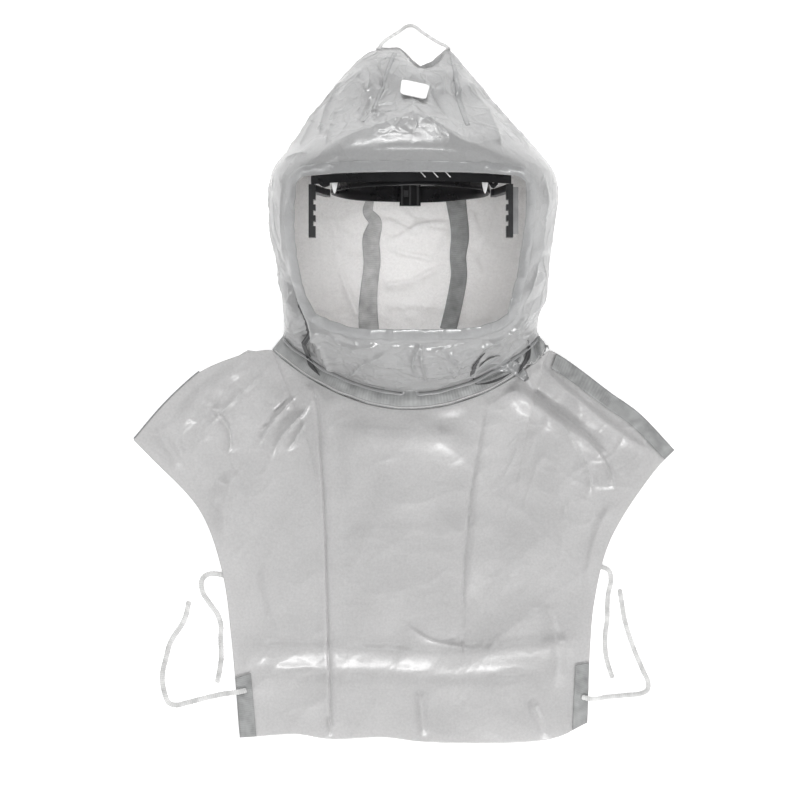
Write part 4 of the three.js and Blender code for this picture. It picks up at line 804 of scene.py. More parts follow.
# Binding round the window: a soft rolled edge
def buildBinding():
    count = 420
    look = {"inner": -1.0, "outer": window["binding"], "thick": 1.2}
    base = windowLine(0, count)
    ahead = np.roll(base, -1, 0) - np.roll(base, 1, 0)
    ahead /= np.linalg.norm(ahead, axis=1)[:, None]
    out = np.stack([ahead[:, 1], -ahead[:, 0]], -1)
    angles = np.linspace(0, 2 * math.pi, 14, endpoint=False)
    acrossShare = 0.5 - 0.5 * np.cos(angles)
    high = np.sin(angles) * look["thick"] / 2
    spots = base[:, None, :] + out[:, None, :] * mix(look["inner"], look["outer"], acrossShare)[None, :, None]
    flat = np.dstack([spots, np.zeros(spots.shape[:2])])
    lift = 0.5 + high[None, :] + 0.7 * gradientNoise(flat, 15, 41) + 0.9 * creases(flat, 24, 43, 2, 3.5) - 0.5 * acrossShare[None, :] ** 3
    points = onCloth(spots[..., 0], spots[..., 1], lift)
    marks = np.stack([np.repeat(acrossShare[None, :] / 100, count, 0), np.repeat(np.arange(count)[:, None] * 0.0018, 14, 1)], -1)
    i, j = np.meshgrid(np.arange(count), np.arange(14), indexing="ij")
    at = lambda a, b: (a % count) * 14 + (b % 14)
    faces = np.stack([at(i, j), at(i, j + 1), at(i + 1, j + 1), at(i + 1, j)], -1).reshape(-1, 4)
    piece = addMesh("windowBinding", points.reshape(-1, 3), faces, [hoodOutside], marks=marks.reshape(-1, 2))
    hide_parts("visor_binding")


def buildVisor():
    line = windowLine(window["lap"], 600)
    low, high = line[:, 1].min() + 0.6, line[:, 1].max() - 0.6
    ends = np.roll(line, -1, 0)
    rows, columns = 60, 80
    t = 1 - (1 - np.linspace(0, 1, rows)) ** 1.5
    y = mix(low, high, t)
    spots = np.zeros((rows, columns, 2))
    for i, level in enumerate(y):
        crossing = (line[:, 1] - level) * (ends[:, 1] - level) <= 0
        crossing &= line[:, 1] != ends[:, 1]
        a, b = line[crossing], ends[crossing]
        x = a[:, 0] + (level - a[:, 1]) / (b[:, 1] - a[:, 1]) * (b[:, 0] - a[:, 0])
        spots[i, :, 0] = np.linspace(x.min(), x.max(), columns)
        spots[i, :, 1] = level
    turn, share = hoodPlace(spots[..., 0], spots[..., 1])
    points = hoodPoints(turn, share) - hoodNormals(turn, share) * 3.0
    points[..., 2] += gradientNoise(points, 55, 77) * 0.7
    faces = gridFaces(rows, columns)
    piece = addMesh("visorSheet", points.reshape(-1, 3), faces, [visorClear])
    thicken(piece, 0.8, 0)
    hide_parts("visor")


buildBinding()
buildVisor()
print("window made")


# Seams over the crown: a pinched ridge of cloth
def buildCrownSeams():
    for side, name in ((-1, "crownSeamLeft"), (1, "crownSeamRight")):
        y = np.linspace(window["top"] + 52, hood["neckBack"] + hood["length"] * 0.985, 140)
        x = seamX(side, y, False)
        centre = onCloth(x, y, np.full(y.shape, 0.5))
        left, right = onCloth(x - 2.2, y, np.full(y.shape, 0.1)), onCloth(x + 2.2, y, np.full(y.shape, 0.1))
        points = np.stack([left, mix(left, centre, 0.6), centre, mix(right, centre, 0.6), right], 1)
        faces = gridFaces(len(y), 5, flip=True)
        marks = np.stack([np.repeat(np.linspace(0, 0.003, 5)[None, :], len(y), 0), np.repeat(np.arange(len(y))[:, None] * 0.001, 5, 1)], -1)
        piece = addMesh(name, points.reshape(-1, 3), faces, [hoodOutside], marks=marks.reshape(-1, 2))
        thicken(piece, 0.5, 1)


buildCrownSeams()


# Tapes inside the back wall, seen through the window
# painted light and shade: the left tape takes the lighter copy of the inside tape, the right tape the darker copy
backTapes = {
    "seam_tape_back_left": {"run": [(372, 182), (370, 200), (368, 212), (375, 222), (371, 240), (372, 262), (369, 290), (368, 310), (369, 330)],
                            "wide": [8, 9, 13, 19, 19, 18, 19, 21, 22], "cloth": tapeInsidePaintedLit},
    "seam_tape_back_right": {"run": [(455, 182), (456, 200), (459, 222), (460, 238), (458, 256), (459, 275), (455, 300), (451, 318), (448, 330)],
                             "wide": [22, 22, 20, 20, 18, 18, 18, 18, 18], "cloth": tapeInside},
}


# painted shadow: near-black strips of tape laid on the cloth in the deep folds of the neck, standing in for the shade
# inside them
neckFoldShadows = {
    "neckFoldShadowLeft": {"run": [(287, 288), (291, 304), (296, 320), (301, 335), (305, 350), (309, 364), (318, 375)],
                     "wide": [0.3, 0.7, 1.3, 2.4, 4.2, 5.6, 0.8], "lift": 0.5},
    "neckFoldShadowMiddle": {"run": [(486, 357), (478, 361), (474, 368), (473, 376), (478, 384)], "wide": [0.4, 2.0, 4.2, 4.6, 0.6], "lift": 0.9},
    "neckFoldShadowLower": {"run": [(477, 384), (488, 383), (501, 379), (514, 372)], "wide": [0.5, 2.4, 2.8, 0.5], "lift": 0.9},
    "neckFoldShadowRight": {"run": [(527, 338), (532, 346), (531, 356), (526, 364), (521, 373)], "wide": [0.4, 3.4, 4.8, 3.4, 0.6], "lift": 0.9},
}


def buildNeckFoldShadows():
    # each strip is painted shadow: dark tape lying on the top surface where a fold's shade falls
    for name, foldShadow in neckFoldShadows.items():
        line = smoothLine(seenAt(foldShadow["run"], 80))
        shares = np.linspace(0, 1, 120)
        spots = along(line, shares)
        wide = np.interp(shares, np.linspace(0, 1, len(foldShadow["wide"])), foldShadow["wide"])
        ahead = np.gradient(spots, axis=0)
        ahead /= np.linalg.norm(ahead, axis=1)[:, None]
        side = np.stack([-ahead[:, 1], ahead[:, 0]], -1)
        profile = np.linspace(-0.5, 0.5, 7)
        plan = spots[:, None, :] + side[:, None, :] * wide[:, None, None] * profile[None, :, None]
        turn, share = hoodPlace(plan[..., 0], plan[..., 1])
        points = hoodCloth(turn, np.maximum(share, 0.002)) + hoodNormals(turn, share) * foldShadow["lift"]
        under = np.vstack(collarSurface)
        far = np.hypot(plan[..., 0, None] - under[:, 0], plan[..., 1, None] - under[:, 1])
        near = far.min(-1) < 2.5
        points[..., 2] = np.where(near, np.maximum(points[..., 2], under[far.argmin(-1), 2] + 1.4), points[..., 2])
        points[..., :2] = np.where(near[..., None], plan, points[..., :2])
        marks = np.stack([np.repeat(profile[None, :] * 0.008, 120, 0), np.repeat(shares[:, None] * 0.12, 7, 1)], -1)
        faces = gridFaces(120, 7)
        flat = points.reshape(-1, 3)
        if np.cross(flat[faces[:, 1]] - flat[faces[:, 0]], flat[faces[:, 2]] - flat[faces[:, 0]])[:, 2].sum() < 0:
            faces = faces[:, ::-1]
        piece = addMesh(name, flat, faces, [paintedShadowTape], marks=marks.reshape(-1, 2))
        thicken(piece, 0.4, 1)


def buildBackTapes():
    for node, tape in backTapes.items():
        line = smoothLine(seenAt(tape["run"], 4))
        shares = np.linspace(0, 1, 160)
        spots = along(line, shares)
        wide = np.interp(shares, np.linspace(0, 1, len(tape["wide"])), tape["wide"])
        ahead = np.gradient(spots, axis=0)
        ahead /= np.linalg.norm(ahead, axis=1)[:, None]
        side = np.stack([-ahead[:, 1], ahead[:, 0]], -1)
        profile = np.linspace(-0.5, 0.5, 9)
        plan = spots[:, None, :] + side[:, None, :] * wide[:, None, None] * profile[None, :, None]
        turn, share = hoodPlace(plan[..., 0], plan[..., 1], True)
        points = hoodCloth(turn, share)
        points[..., :2] = plan
        points[..., 2] += hood["cloth"] + 0.5
        marks = np.stack([np.repeat(profile[None, :] * 0.018, len(shares), 0), np.repeat(shares[:, None] * lineLength(line) / 1000, 9, 1)], -1)
        faces = gridFaces(len(shares), 9)
        a, b, c = (points.reshape(-1, 3)[faces[0][k]] for k in range(3))
        if np.cross(b - a, c - a)[2] < 0:
            faces = faces[:, ::-1]
        piece = addMesh(node + "_cloth", points.reshape(-1, 3), faces, [tape["cloth"]], marks=marks.reshape(-1, 2))
        thicken(piece, 0.5, 1)
        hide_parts(node)


buildBackTapes()
print("seams and tapes made")


# Label: a blank patch on the crown
def buildLabel():
    look = {"width": 30.0, "height": 22.0, "corner": 4.0, "thick": 0.7}
    corners = seenAt([(401.5, 78.5), (430, 85.5), (425.5, 102), (400, 95.5)], 165)
    rows, columns = 20, 26
    u, v = np.meshgrid(np.linspace(0, 1, columns), np.linspace(0, 1, rows))
    cut = look["corner"] / look["height"]
    edge = np.maximum(0, np.abs(v - 0.5) - (0.5 - cut)) / cut
    inset = (1 - np.sqrt(np.clip(1 - edge ** 2, 0, 1))) * look["corner"] / look["width"]
    u = mix(inset, 1 - inset, u)
    topLine = corners[0] + u[..., None] * (corners[1] - corners[0])
    lowLine = corners[3] + u[..., None] * (corners[2] - corners[3])
    plan = mix(topLine, lowLine, v[..., None])
    turn, share = hoodPlace(plan[..., 0], plan[..., 1])
    cloth = hoodCloth(turn, share)
    # a stiff patch bridges the small wrinkles under it
    x, y, z = plan[..., 0].ravel(), plan[..., 1].ravel(), cloth[..., 2].ravel()
    terms = np.stack([np.ones_like(x), x, y, x * y], -1)
    fit, *_ = np.linalg.lstsq(terms, z, rcond=None)
    level = terms @ fit
    level = level + max((z - level).max() * 0.5, 0) + 1.0
    points = np.stack([x, y, level], -1)
    faces = gridFaces(rows, columns, flip=True)
    piece = addMesh("crownLabel", points, faces, [labelCloth])
    thicken(piece, look["thick"], 1)
    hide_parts("brow_label")


buildLabel()


# Bib: outline in shares of its width and length from the collar's lowest point
bib = {
    "width": 594.0, "length": 376.0, "rest": 5.4, "foldRise": 1.35, "spread": 95.0, "inset": 9.0, "rows": 300, "columns": 380,
    "cloth": 0.9, "collarWidth": 18.0, "collarDrop": 8.0, "neckStart": 0.27, "neckEnd": 0.73, "neckEdge": 20.2,
    "leftShoulder": [(-0.511, -0.117), (-0.452, -0.009), (-0.389, 0.082), (-0.3, 0.176)],
    "rightShoulder": [(0.3, 0.14), (0.357, 0.04), (0.423, -0.037), (0.489, -0.146)],
    "leftSide": [(-0.511, -0.117), (-0.478, -0.17), (-0.389, -0.322), (-0.348, -0.497), (-0.33, -0.7), (-0.315, -0.986)],
    "rightSide": [(0.489, -0.146), (0.453, -0.205), (0.37, -0.41), (0.341, -0.585), (0.333, -0.72), (0.328, -0.942)],
    "hem": [(-0.315, -0.986), (-0.21, -0.976), (-0.148, -0.99), (-0.05, -0.985), (0.02, -0.997), (0.18, -1), (0.27, -0.985), (0.328, -0.942)],
}
bibLines = {key: smoothLine(np.array(bib[key]) * (bib["width"], bib["length"])) for key in ("leftShoulder", "rightShoulder", "leftSide", "rightSide", "hem")}


def collarPoints(share, outwards):
    turn = mix(math.pi, 0, np.asarray(share, float))
    p = hoodPoints(turn, np.zeros(turn.shape))
    side = np.where(p[..., 0] < 0, sections[0, 1], sections[0, 2]) * hood["width"] / 2
    slope = 2 * hood["chinDrop"] * p[..., 0] / side ** 2
    down = np.stack([slope, -np.ones(slope.shape)], -1)
    down /= np.linalg.norm(down, axis=-1)[..., None]
    out = p.copy()
    out[..., :2] += down * np.asarray(outwards)[..., None]
    out[..., 2] -= bib["collarDrop"] * np.asarray(outwards) / bib["collarWidth"]
    return out


def bibTop(s):
    corner = [collarPoints(np.array(end), np.array(bib["neckEdge"]))[:2] for end in (0.0, 1.0)]
    left = along(bibLines["leftShoulder"], s / bib["neckStart"])
    left = mix(left, corner[0], smooth(s / bib["neckStart"], 0.6, 1)[:, None])
    share = (s - bib["neckEnd"]) / (1 - bib["neckEnd"])
    right = along(bibLines["rightShoulder"], share)
    right = mix(right, corner[1], (1 - smooth(share, 0, 0.4))[:, None])
    neck = collarPoints(np.clip((s - bib["neckStart"]) / (bib["neckEnd"] - bib["neckStart"]), 0, 1), np.full(s.shape, bib["neckEdge"]))[:, :2]
    return np.where((s < bib["neckStart"])[:, None], left, np.where((s > bib["neckEnd"])[:, None], right, neck))


def bibPlan(s, t):
    # s runs along the top and the hem, t from the top to the hem; both are grids
    cols, rows = s[0], t[:, 0]
    top, low = bibTop(cols)[None], along(bibLines["hem"], cols)[None]
    left, right = along(bibLines["leftSide"], rows)[:, None], along(bibLines["rightSide"], rows)[:, None]
    s, t = s[..., None], t[..., None]
    corner = [bibLines["leftSide"][0], bibLines["rightSide"][0], bibLines["leftSide"][-1], bibLines["rightSide"][-1]]
    bilinear = corner[0] * (1 - s) * (1 - t) + corner[1] * s * (1 - t) + corner[2] * (1 - s) * t + corner[3] * s * t
    return left * (1 - s) + right * s + top * (1 - t) + low * t - bilinear


bibFolds = [
    # the two long creases and their soft shoulders
    {"run": [(315, 384), (317, 404), (320, 446), (323, 494), (325, 533), (327, 600), (330, 700), (331, 738)], "rise": -2.6, "width": (2.2,), "sharp": True, "ease": 0.04},
    {"run": [(324, 392), (327, 446), (331, 520), (335, 640), (338, 736)], "rise": 2.2, "width": (7, 14), "ease": 0.08},
    {"run": [(484, 404), (480, 435), (475, 466), (470, 496), (469, 517), (465, 552), (463, 600), (461, 660)], "rise": -2.4, "width": (2.2,), "sharp": True, "ease": 0.12},
    {"run": [(490, 412), (486, 440), (480, 480), (476, 530), (470, 600)], "rise": 2.4, "width": (14, 7), "ease": 0.15},
    # left shoulder: bright slanting creases and the hooked wrinkle
    {"run": [(300, 392), (284, 408), (268, 428), (256, 452)], "rise": 5, "width": (3, 6), "sharp": True},
    {"run": [(312, 402), (298, 418), (282, 436), (270, 462)], "rise": 5, "width": (3, 5), "sharp": True},
    {"run": [(306, 420), (296, 438), (286, 452)], "rise": 3.5, "width": (3,), "sharp": True},
    {"run": [(292, 396), (276, 412), (262, 434)], "rise": -3.5, "width": (4,)},
    {"run": [(206, 408), (218, 414), (228, 428), (231, 444), (226, 456)], "rise": 4.5, "width": (3, 5), "sharp": True},
    {"run": [(256, 352), (240, 366), (216, 386), (194, 410), (176, 432)], "rise": 6, "width": (8, 12)},
    {"run": [(272, 362), (252, 384), (232, 402), (204, 432)], "rise": 3.5, "width": (4, 7), "sharp": True},
    {"run": [(150, 426), (164, 440), (176, 458), (184, 476)], "rise": 4, "width": (5, 9)},
    {"run": [(148, 444), (158, 452), (170, 460)], "rise": 3, "width": (2.5,), "sharp": True},
    {"run": [(236, 470), (226, 500), (222, 540)], "rise": 4, "width": (6, 12)},
    # right shoulder
    {"run": [(498, 380), (516, 392), (540, 410), (572, 432), (606, 458)], "rise": 7, "width": (7, 12)},
    {"run": [(530, 358), (560, 386), (596, 416), (632, 442), (660, 458)], "rise": 5, "width": (5, 8)},
    {"run": [(514, 378), (548, 402), (584, 430), (620, 456)], "rise": -4, "width": (5,)},
    {"run": [(560, 420), (578, 452), (590, 480), (592, 500)], "rise": 3.5, "width": (3, 8), "sharp": True},
    {"run": [(588, 440), (606, 464), (614, 490)], "rise": 4, "width": (3, 7), "sharp": True},
    {"run": [(620, 500), (604, 520), (594, 548), (590, 590)], "rise": 3, "width": (8, 6)},
    # middle and hem
    {"run": [(336, 430), (380, 438), (430, 438), (470, 428)], "rise": 2.5, "width": (10, 16)},
    {"run": [(250, 646), (300, 650), (360, 650), (420, 654), (500, 650), (580, 640)], "rise": 3.2, "width": (8, 11), "ease": 0.08},
    {"run": [(246, 668), (310, 672), (380, 672), (450, 676), (540, 672)], "rise": -2.5, "width": (8,), "ease": 0.08},
    {"run": [(400, 620), (430, 640), (470, 648)], "rise": 2.5, "width": (4,), "sharp": True},
    {"run": [(540, 600), (556, 640), (560, 690)], "rise": 2.6, "width": (7,)},
    {"run": [(262, 560), (270, 600), (284, 640)], "rise": 2.6, "width": (7,)},
    {"run": [(328, 716), (331, 738)], "rise": 4, "width": (2.5,), "sharp": True, "ease": 0.3},
    {"run": [(420, 690), (424, 738)], "rise": 3, "width": (5,), "ease": 0.2},
    {"run": [(530, 700), (548, 740)], "rise": 3, "width": (5,), "ease": 0.2},
]


def bibHeight(s, t, plan):
    share = np.clip((s - bib["neckStart"]) / (bib["neckEnd"] - bib["neckStart"]), 0, 1)
    rim = collarPoints(share, np.full(s.shape, bib["neckEdge"]))
    away = np.hypot(plan[..., 0] - rim[..., 0], plan[..., 1] - rim[..., 1]) / bib["spread"]
    raised = np.maximum(rim[..., 2] - bib["rest"], 0) * np.exp(-away ** 1.4)
    x, y = plan[..., 0], plan[..., 1]
    spot = np.stack([x, y, np.zeros(x.shape)], -1)
    edge = np.clip(np.minimum(np.minimum(s, 1 - s), 1 - t + 0.05) / 0.05, 0.15, 1)
    top = smooth(t, 0, 0.06)
    folds = foldLift(x, y, bibFolds, 8) * bib["foldRise"]
    lift = folds * edge * top
    shoulders = smooth(y, -190, -60)
    lift += crumple(spot, 90, 101, 2) * (2.6 + 1.6 * shoulders) * edge * top
    lift += facets(spot, 64, 117, 5) * (2.6 + 1.4 * shoulders) * edge * top
    lift += creases(spot, 46, 111, 2, 6.0, 0.15) * (0.35 + 0.7 * shoulders * smooth(np.abs(x), 70, 130)) * edge * top
    lift += gradientNoise(spot, 130, 121) * 2.4 * edge * top
    lift += gradientNoise(spot, 10, 125) * 0.15
    hemWave = 2.2 * gradientNoise(spot, 38, 131) * smooth(t, 0.82, 1)
    return np.maximum(bib["rest"] + raised + lift + hemWave, 2.4 + bib["cloth"])


def outlineArea(*lines):
    # square metres inside the lines, taken end to end
    p = np.vstack(lines)[:, :2] / 1000
    q = np.roll(p, -1, 0)
    return round(float(abs((p[:, 0] * q[:, 1] - q[:, 0] * p[:, 1]).sum()) / 2), 3)


def buildBib():
    s, t = np.meshgrid(np.linspace(0, 1, bib["columns"]), np.linspace(0, 1, bib["rows"]))
    plan = bibPlan(s, t)
    points = np.dstack([plan, bibHeight(s, t, plan)])
    faces = gridFaces(*s.shape, flip=True)
    piece = addMesh("bibFrontCloth", points.reshape(-1, 3), faces, [bibOutside, bibOutside])
    thicken(piece, bib["cloth"], -1)
    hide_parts("bib_front")
    area = outlineArea(bibTop(np.linspace(0, 1, 200)), bibLines["rightSide"], bibLines["hem"][::-1], bibLines["leftSide"][::-1])
    return points


def buildBibBack():
    # the layer under it, flat on the table
    outline = []
    def inward(key, sign):
        line = bibLines[key]
        u = np.linspace(0.04, 0.96, 40)
        p = along(line, u)
        d = along(line, np.minimum(u + 0.01, 1)) - along(line, np.maximum(u - 0.01, 0))
        d /= np.linalg.norm(d, axis=1)[:, None]
        return p + sign * np.stack([-d[:, 1], d[:, 0]], -1) * bib["inset"]
    left = inward("leftSide", 1)
    right = inward("rightSide", -1)
    rows, columns = 120, 160
    v = np.linspace(0, 1, rows)
    hemInner = inward("hem", 1)
    a, b = along(left, v), along(right, v)
    u = np.linspace(0, 1, columns)
    hoodLeft = float(hoodPoints(np.array(math.pi), np.array(0.0))[0]) - bib["inset"]
    hoodRight = float(hoodPoints(np.array(0.0), np.array(0.0))[0]) + bib["inset"]
    neckY = hood["neckBack"] - 18.8
    shoulderL, shoulderR = inward("leftShoulder", -1), inward("rightShoulder", -1)
    topLine = np.vstack([a[:1], shoulderL, [(hoodLeft, neckY)], [(hoodRight, neckY)], shoulderR, b[:1]])
    topLine = along(topLine, u)
    lowLine = along(np.vstack([a[-1:], hemInner, b[-1:]]), u)
    s, t = np.meshgrid(u, v)
    s, t = s[..., None], t[..., None]
    plan = a[:, None] * (1 - s) + b[:, None] * s + topLine[None] * (1 - t) + lowLine[None] * t
    plan -= a[0] * (1 - s) * (1 - t) + b[0] * s * (1 - t) + a[-1] * (1 - s) * t + b[-1] * s * t
    spot = np.dstack([plan, np.zeros(plan.shape[:2])])
    height = 0.3 + np.clip(0.5 + 0.5 * gradientNoise(spot, 60, 141), 0, 1) * 0.7
    points = np.dstack([plan, height])
    piece = addMesh("bibBackCloth", points.reshape(-1, 3), gridFaces(rows, columns, flip=True), [bibOutside, bibOutside])
    thicken(piece, 0.5, 1)
    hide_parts("bib_back")


buildBib()
buildBibBack()
print("bib laid")


# Collar tape: a band round the front of the neck that crumples at its right end
collarSurface = []


def addRoll(name, line, wide, high, material):
    # a soft rolled edge with an oval section along a line
    ahead = np.gradient(line, axis=0)
    ahead /= np.linalg.norm(ahead, axis=1)[:, None]
    side = np.cross([0, 0, 1.0], ahead)
    side /= np.linalg.norm(side, axis=1)[:, None]
    up = np.cross(ahead, side)
    angles = np.linspace(0, 2 * math.pi, 12, endpoint=False)
    size = smooth(np.linspace(0, 1, len(line)), 0, 0.03) * (1 - smooth(np.linspace(0, 1, len(line)), 0.97, 1))
    size = size * (1 + 0.35 * gradientNoise(line, 17, 231)) + 0.1
    points = (line[:, None] + side[:, None] * (np.cos(angles)[None, :, None] * wide / 2) * size[:, None, None]
              + up[:, None] * (np.sin(angles)[None, :, None] * high / 2) * size[:, None, None])
    faces = gridFaces(len(line), 12, ring=True).tolist()
    faces += [list(range(12))[::-1], [(len(line) - 1) * 12 + k for k in range(12)]]
    points[..., 2] = np.maximum(points[..., 2], 0.3)
    return addMesh(name, points.reshape(-1, 3), faces, [material])


def buildBunch():
    # cloth gathered up over the collar's right end
    look = {"run": [(475, 383), (480, 374), (489, 367), (501, 364.5), (513, 367), (522, 374), (527, 380)], "wide": 17.0, "rise": 5.0}
    line = along(smoothLine(seenAt(look["run"], 22)), np.linspace(0, 1, 110))
    ahead = np.gradient(line, axis=0)
    ahead /= np.linalg.norm(ahead, axis=1)[:, None]
    side = np.stack([-ahead[:, 1], ahead[:, 0]], -1)
    profile = np.linspace(-0.5, 0.5, 26)
    ends = np.sin(math.pi * np.linspace(0.04, 0.96, 110)) ** 0.5
    plan = line[:, None] + side[:, None] * (profile[None, :, None] * look["wide"] * ends[:, None, None])
    under = np.vstack(collarSurface)
    far = np.hypot(plan[..., 0, None] - under[:, 0], plan[..., 1, None] - under[:, 1])
    turn, share = hoodPlace(plan[..., 0], plan[..., 1])
    base = np.where(share > 0.004, hoodCloth(turn, np.maximum(share, 0.002))[..., 2], under[far.argmin(-1), 2])
    for _ in range(6):
        base = (np.roll(base, 1, 0) + base + np.roll(base, -1, 0)) / 3
        base[:, 1:-1] = (base[:, :-2] + base[:, 1:-1] + base[:, 2:]) / 3
    arch = np.sqrt(np.clip(1 - (2 * profile) ** 2, 0, 1))[None, :] * ends[:, None]
    spot = np.dstack([plan, np.zeros(base.shape)])
    points = np.dstack([plan, base + arch * (look["rise"] + 5 * facets(spot, 11, 241, 4) + 3 * crumple(spot, 14, 243, 2)) + 0.4])
    points[..., 2] = np.maximum(points[..., 2], 1.2)
    faces = gridFaces(110, 26)
    flat = points.reshape(-1, 3)
    if np.cross(flat[faces[:, 1]] - flat[faces[:, 0]], flat[faces[:, 2]] - flat[faces[:, 0]])[:, 2].sum() < 0:
        faces = faces[:, ::-1]
    thicken(addMesh("collarBunch", flat, faces, [hoodOutside]), 0.8, -1)
    collarSurface.append(flat)


def buildCollar():
    look = {"ends": 0.0, "ruffle": 1.3, "crush": 8.0}
    share = np.linspace(look["ends"], 1 - look["ends"], 260)
    profile = np.linspace(-0.3, 1.04, 14)
    points = collarPoints(share[:, None] * np.ones((1, 14)), profile[None, :] * bib["collarWidth"] + 0.4)
    points[..., 2] -= 3.2 * (1 - smooth(profile, -0.05, 0.55))[None, :] * smooth(points[..., 2], 6, 20)
    crush = smooth(share, 0.72, 0.86)[:, None] * (1 - smooth(share, 0.965, 1.0)[:, None])
    pleats = np.abs((points[..., 0] / 11 + 0.35 * gradientNoise(points, 20, 203)) % 1 - 0.5) * 4 - 1
    wave = gradientNoise(points, 22, 201) * look["ruffle"] + (crumple(points, 20, 207, 3) * look["crush"] + pleats * 3.2) * crush
    points[..., 2] += wave + 1.2
    points[..., 1] += gradientNoise(points, 26, 211) * (1.2 + 5 * crush) + crumple(points, 16, 215, 2) * 5 * crush
    marks = np.stack([np.repeat(profile[None, :] * 0.018, len(share), 0), np.repeat(share[:, None] * 0.33, 14, 1)], -1)
    faces = gridFaces(len(share), 14)
    flat = points.reshape(-1, 3)
    if np.cross(flat[faces[:, 1]] - flat[faces[:, 0]], flat[faces[:, 2]] - flat[faces[:, 0]])[:, 2].sum() < 0:
        faces = faces[:, ::-1]
    piece = addMesh("collarBand", flat, faces, [tapeCloth], marks=marks.reshape(-1, 2))
    thicken(piece, 0.8, 1)
    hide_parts("collar_tape_front")
    collarSurface.append(points.reshape(-1, 3))
    edge = points[14:-14, -2] + (0, 0, 0.7)
    addRoll("collarPiping", edge, 1.6, 1.2, bibOutside)
    turns = np.linspace(math.pi * 0.96, math.pi * 0.04, 320)
    hem = hoodCloth(turns, np.full(turns.shape, 0.004)) + hoodNormals(turns, np.full(turns.shape, 0.004)) * 0.8
    hem[:, 1] -= 0.6 + 1.4 * gradientNoise(hem, 24, 221)
    hem[:, 2] += 1.2
    collarSurface.append(hem)
    addRoll("hoodHem", hem, 3.4, 2.0, hoodOutside)
    buildBunch()
    # the back half lies on the table
    left, right = float(hoodPoints(np.array(math.pi), np.array(0.0))[0]), float(hoodPoints(np.array(0.0), np.array(0.0))[0])
    x = np.linspace(left, right, 160)
    line = np.stack([x, np.full(x.shape, hood["neckBack"] - 9.4), 0.4 + 0.2 * np.sin(x * 0.21)], -1)
    back = stripMesh("collarBandBack", line, np.tile([0, 18.0, 0], (len(x), 1)), [tapeCloth], 0.6)
    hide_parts("collar_tape_back")


buildCollar()
buildNeckFoldShadows()


def bibSpot(s, t, lift):
    plan = np.array([bibPlan(np.array([[a]]), np.array([[b]]))[0, 0] for a, b in zip(s.ravel(), t.ravel())]).reshape(*s.shape, 2)
    z = bibHeight(s, t, plan) + lift
    return np.dstack([plan, z])


def onBibStrip(name, node, s, t, marks, wave=0.0, seed=301):
    points = bibSpot(s, t, 1.0)
    points[..., 2] += gradientNoise(points, 18, seed) * wave
    faces = gridFaces(*s.shape)
    flat = points.reshape(-1, 3)
    if np.cross(flat[faces[:, 1]] - flat[faces[:, 0]], flat[faces[:, 2]] - flat[faces[:, 0]])[:, 2].sum() < 0:
        faces = faces[:, ::-1]
    piece = addMesh(name, flat, faces, [tapeCloth], marks=marks.reshape(-1, 2))
    thicken(piece, 0.6, 1)
    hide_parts(node)
    return points


def buildBibTapes():
    shoulder = {"width": 15.0, "patchWidth": 19.0, "patchLength": 66.0}
    length = lineLength(bibLines["rightShoulder"])
    start = bib["neckEnd"] + (1 - bib["neckEnd"]) * bib["collarWidth"] / length
    depth = shoulder["width"] / lineLength(bibLines["rightSide"])
    run, wide = np.linspace(start, 0.999, 110), np.linspace(0.001, depth, 9)
    s, t = np.meshgrid(run, wide)
    marks = np.dstack([t * lineLength(bibLines["rightSide"]) / 1000, (s - start) / (1 - start) * length / 1000])
    onBibStrip("shoulderTapeRight", "shoulder_tape_right", s, t, marks, 0.8)
    for side, node in ((-1, "tie_patch_left"), (1, "tie_patch_right")):
        across = shoulder["patchWidth"] / lineLength(bibLines["hem"])
        down = shoulder["patchLength"] / lineLength(bibLines["leftSide" if side < 0 else "rightSide"])
        a, b = (0.002, across) if side < 0 else (1 - across, 0.998)
        s, t = np.meshgrid(np.linspace(a, b, 14), np.linspace(1 - down, 0.998, 50))
        marks = np.dstack([(s - a) * lineLength(bibLines["hem"]) / 1000, (t - 1 + down) * 0.37])
        onBibStrip("tiePatch" + ("Left" if side < 0 else "Right"), node, s, t, marks, 0.3, 311 + side)
    # the left shoulder's tape lies under the rolled edge
    u = np.linspace(0.005, 0.62, 90)
    p = along(bibLines["leftShoulder"], u)
    d = np.gradient(p, axis=0)
    d /= np.linalg.norm(d, axis=1)[:, None]
    out = np.stack([-d[:, 1], d[:, 0]], -1)
    middleLine = np.dstack([(p - out * 3.2)[None], np.full((1, 90), 0.4)])[0]
    acrossLine = np.dstack([(out * 10.2)[None], np.zeros((1, 90))])[0]
    left = stripMesh("shoulderTapeLeft", middleLine, acrossLine, [tapeCloth], 0.6)
    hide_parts("shoulder_tape_left")


buildBibTapes()
print("collar and tapes made")


# Head suspension behind the visor
ring = {"width": 167.0, "depth": 192.0, "floor": 14.0, "y": 216.0, "browHeight": 21.0, "napeHeight": 18.0, "band": 2.4}
ring["z"] = ring["floor"] + ring["depth"] / 2


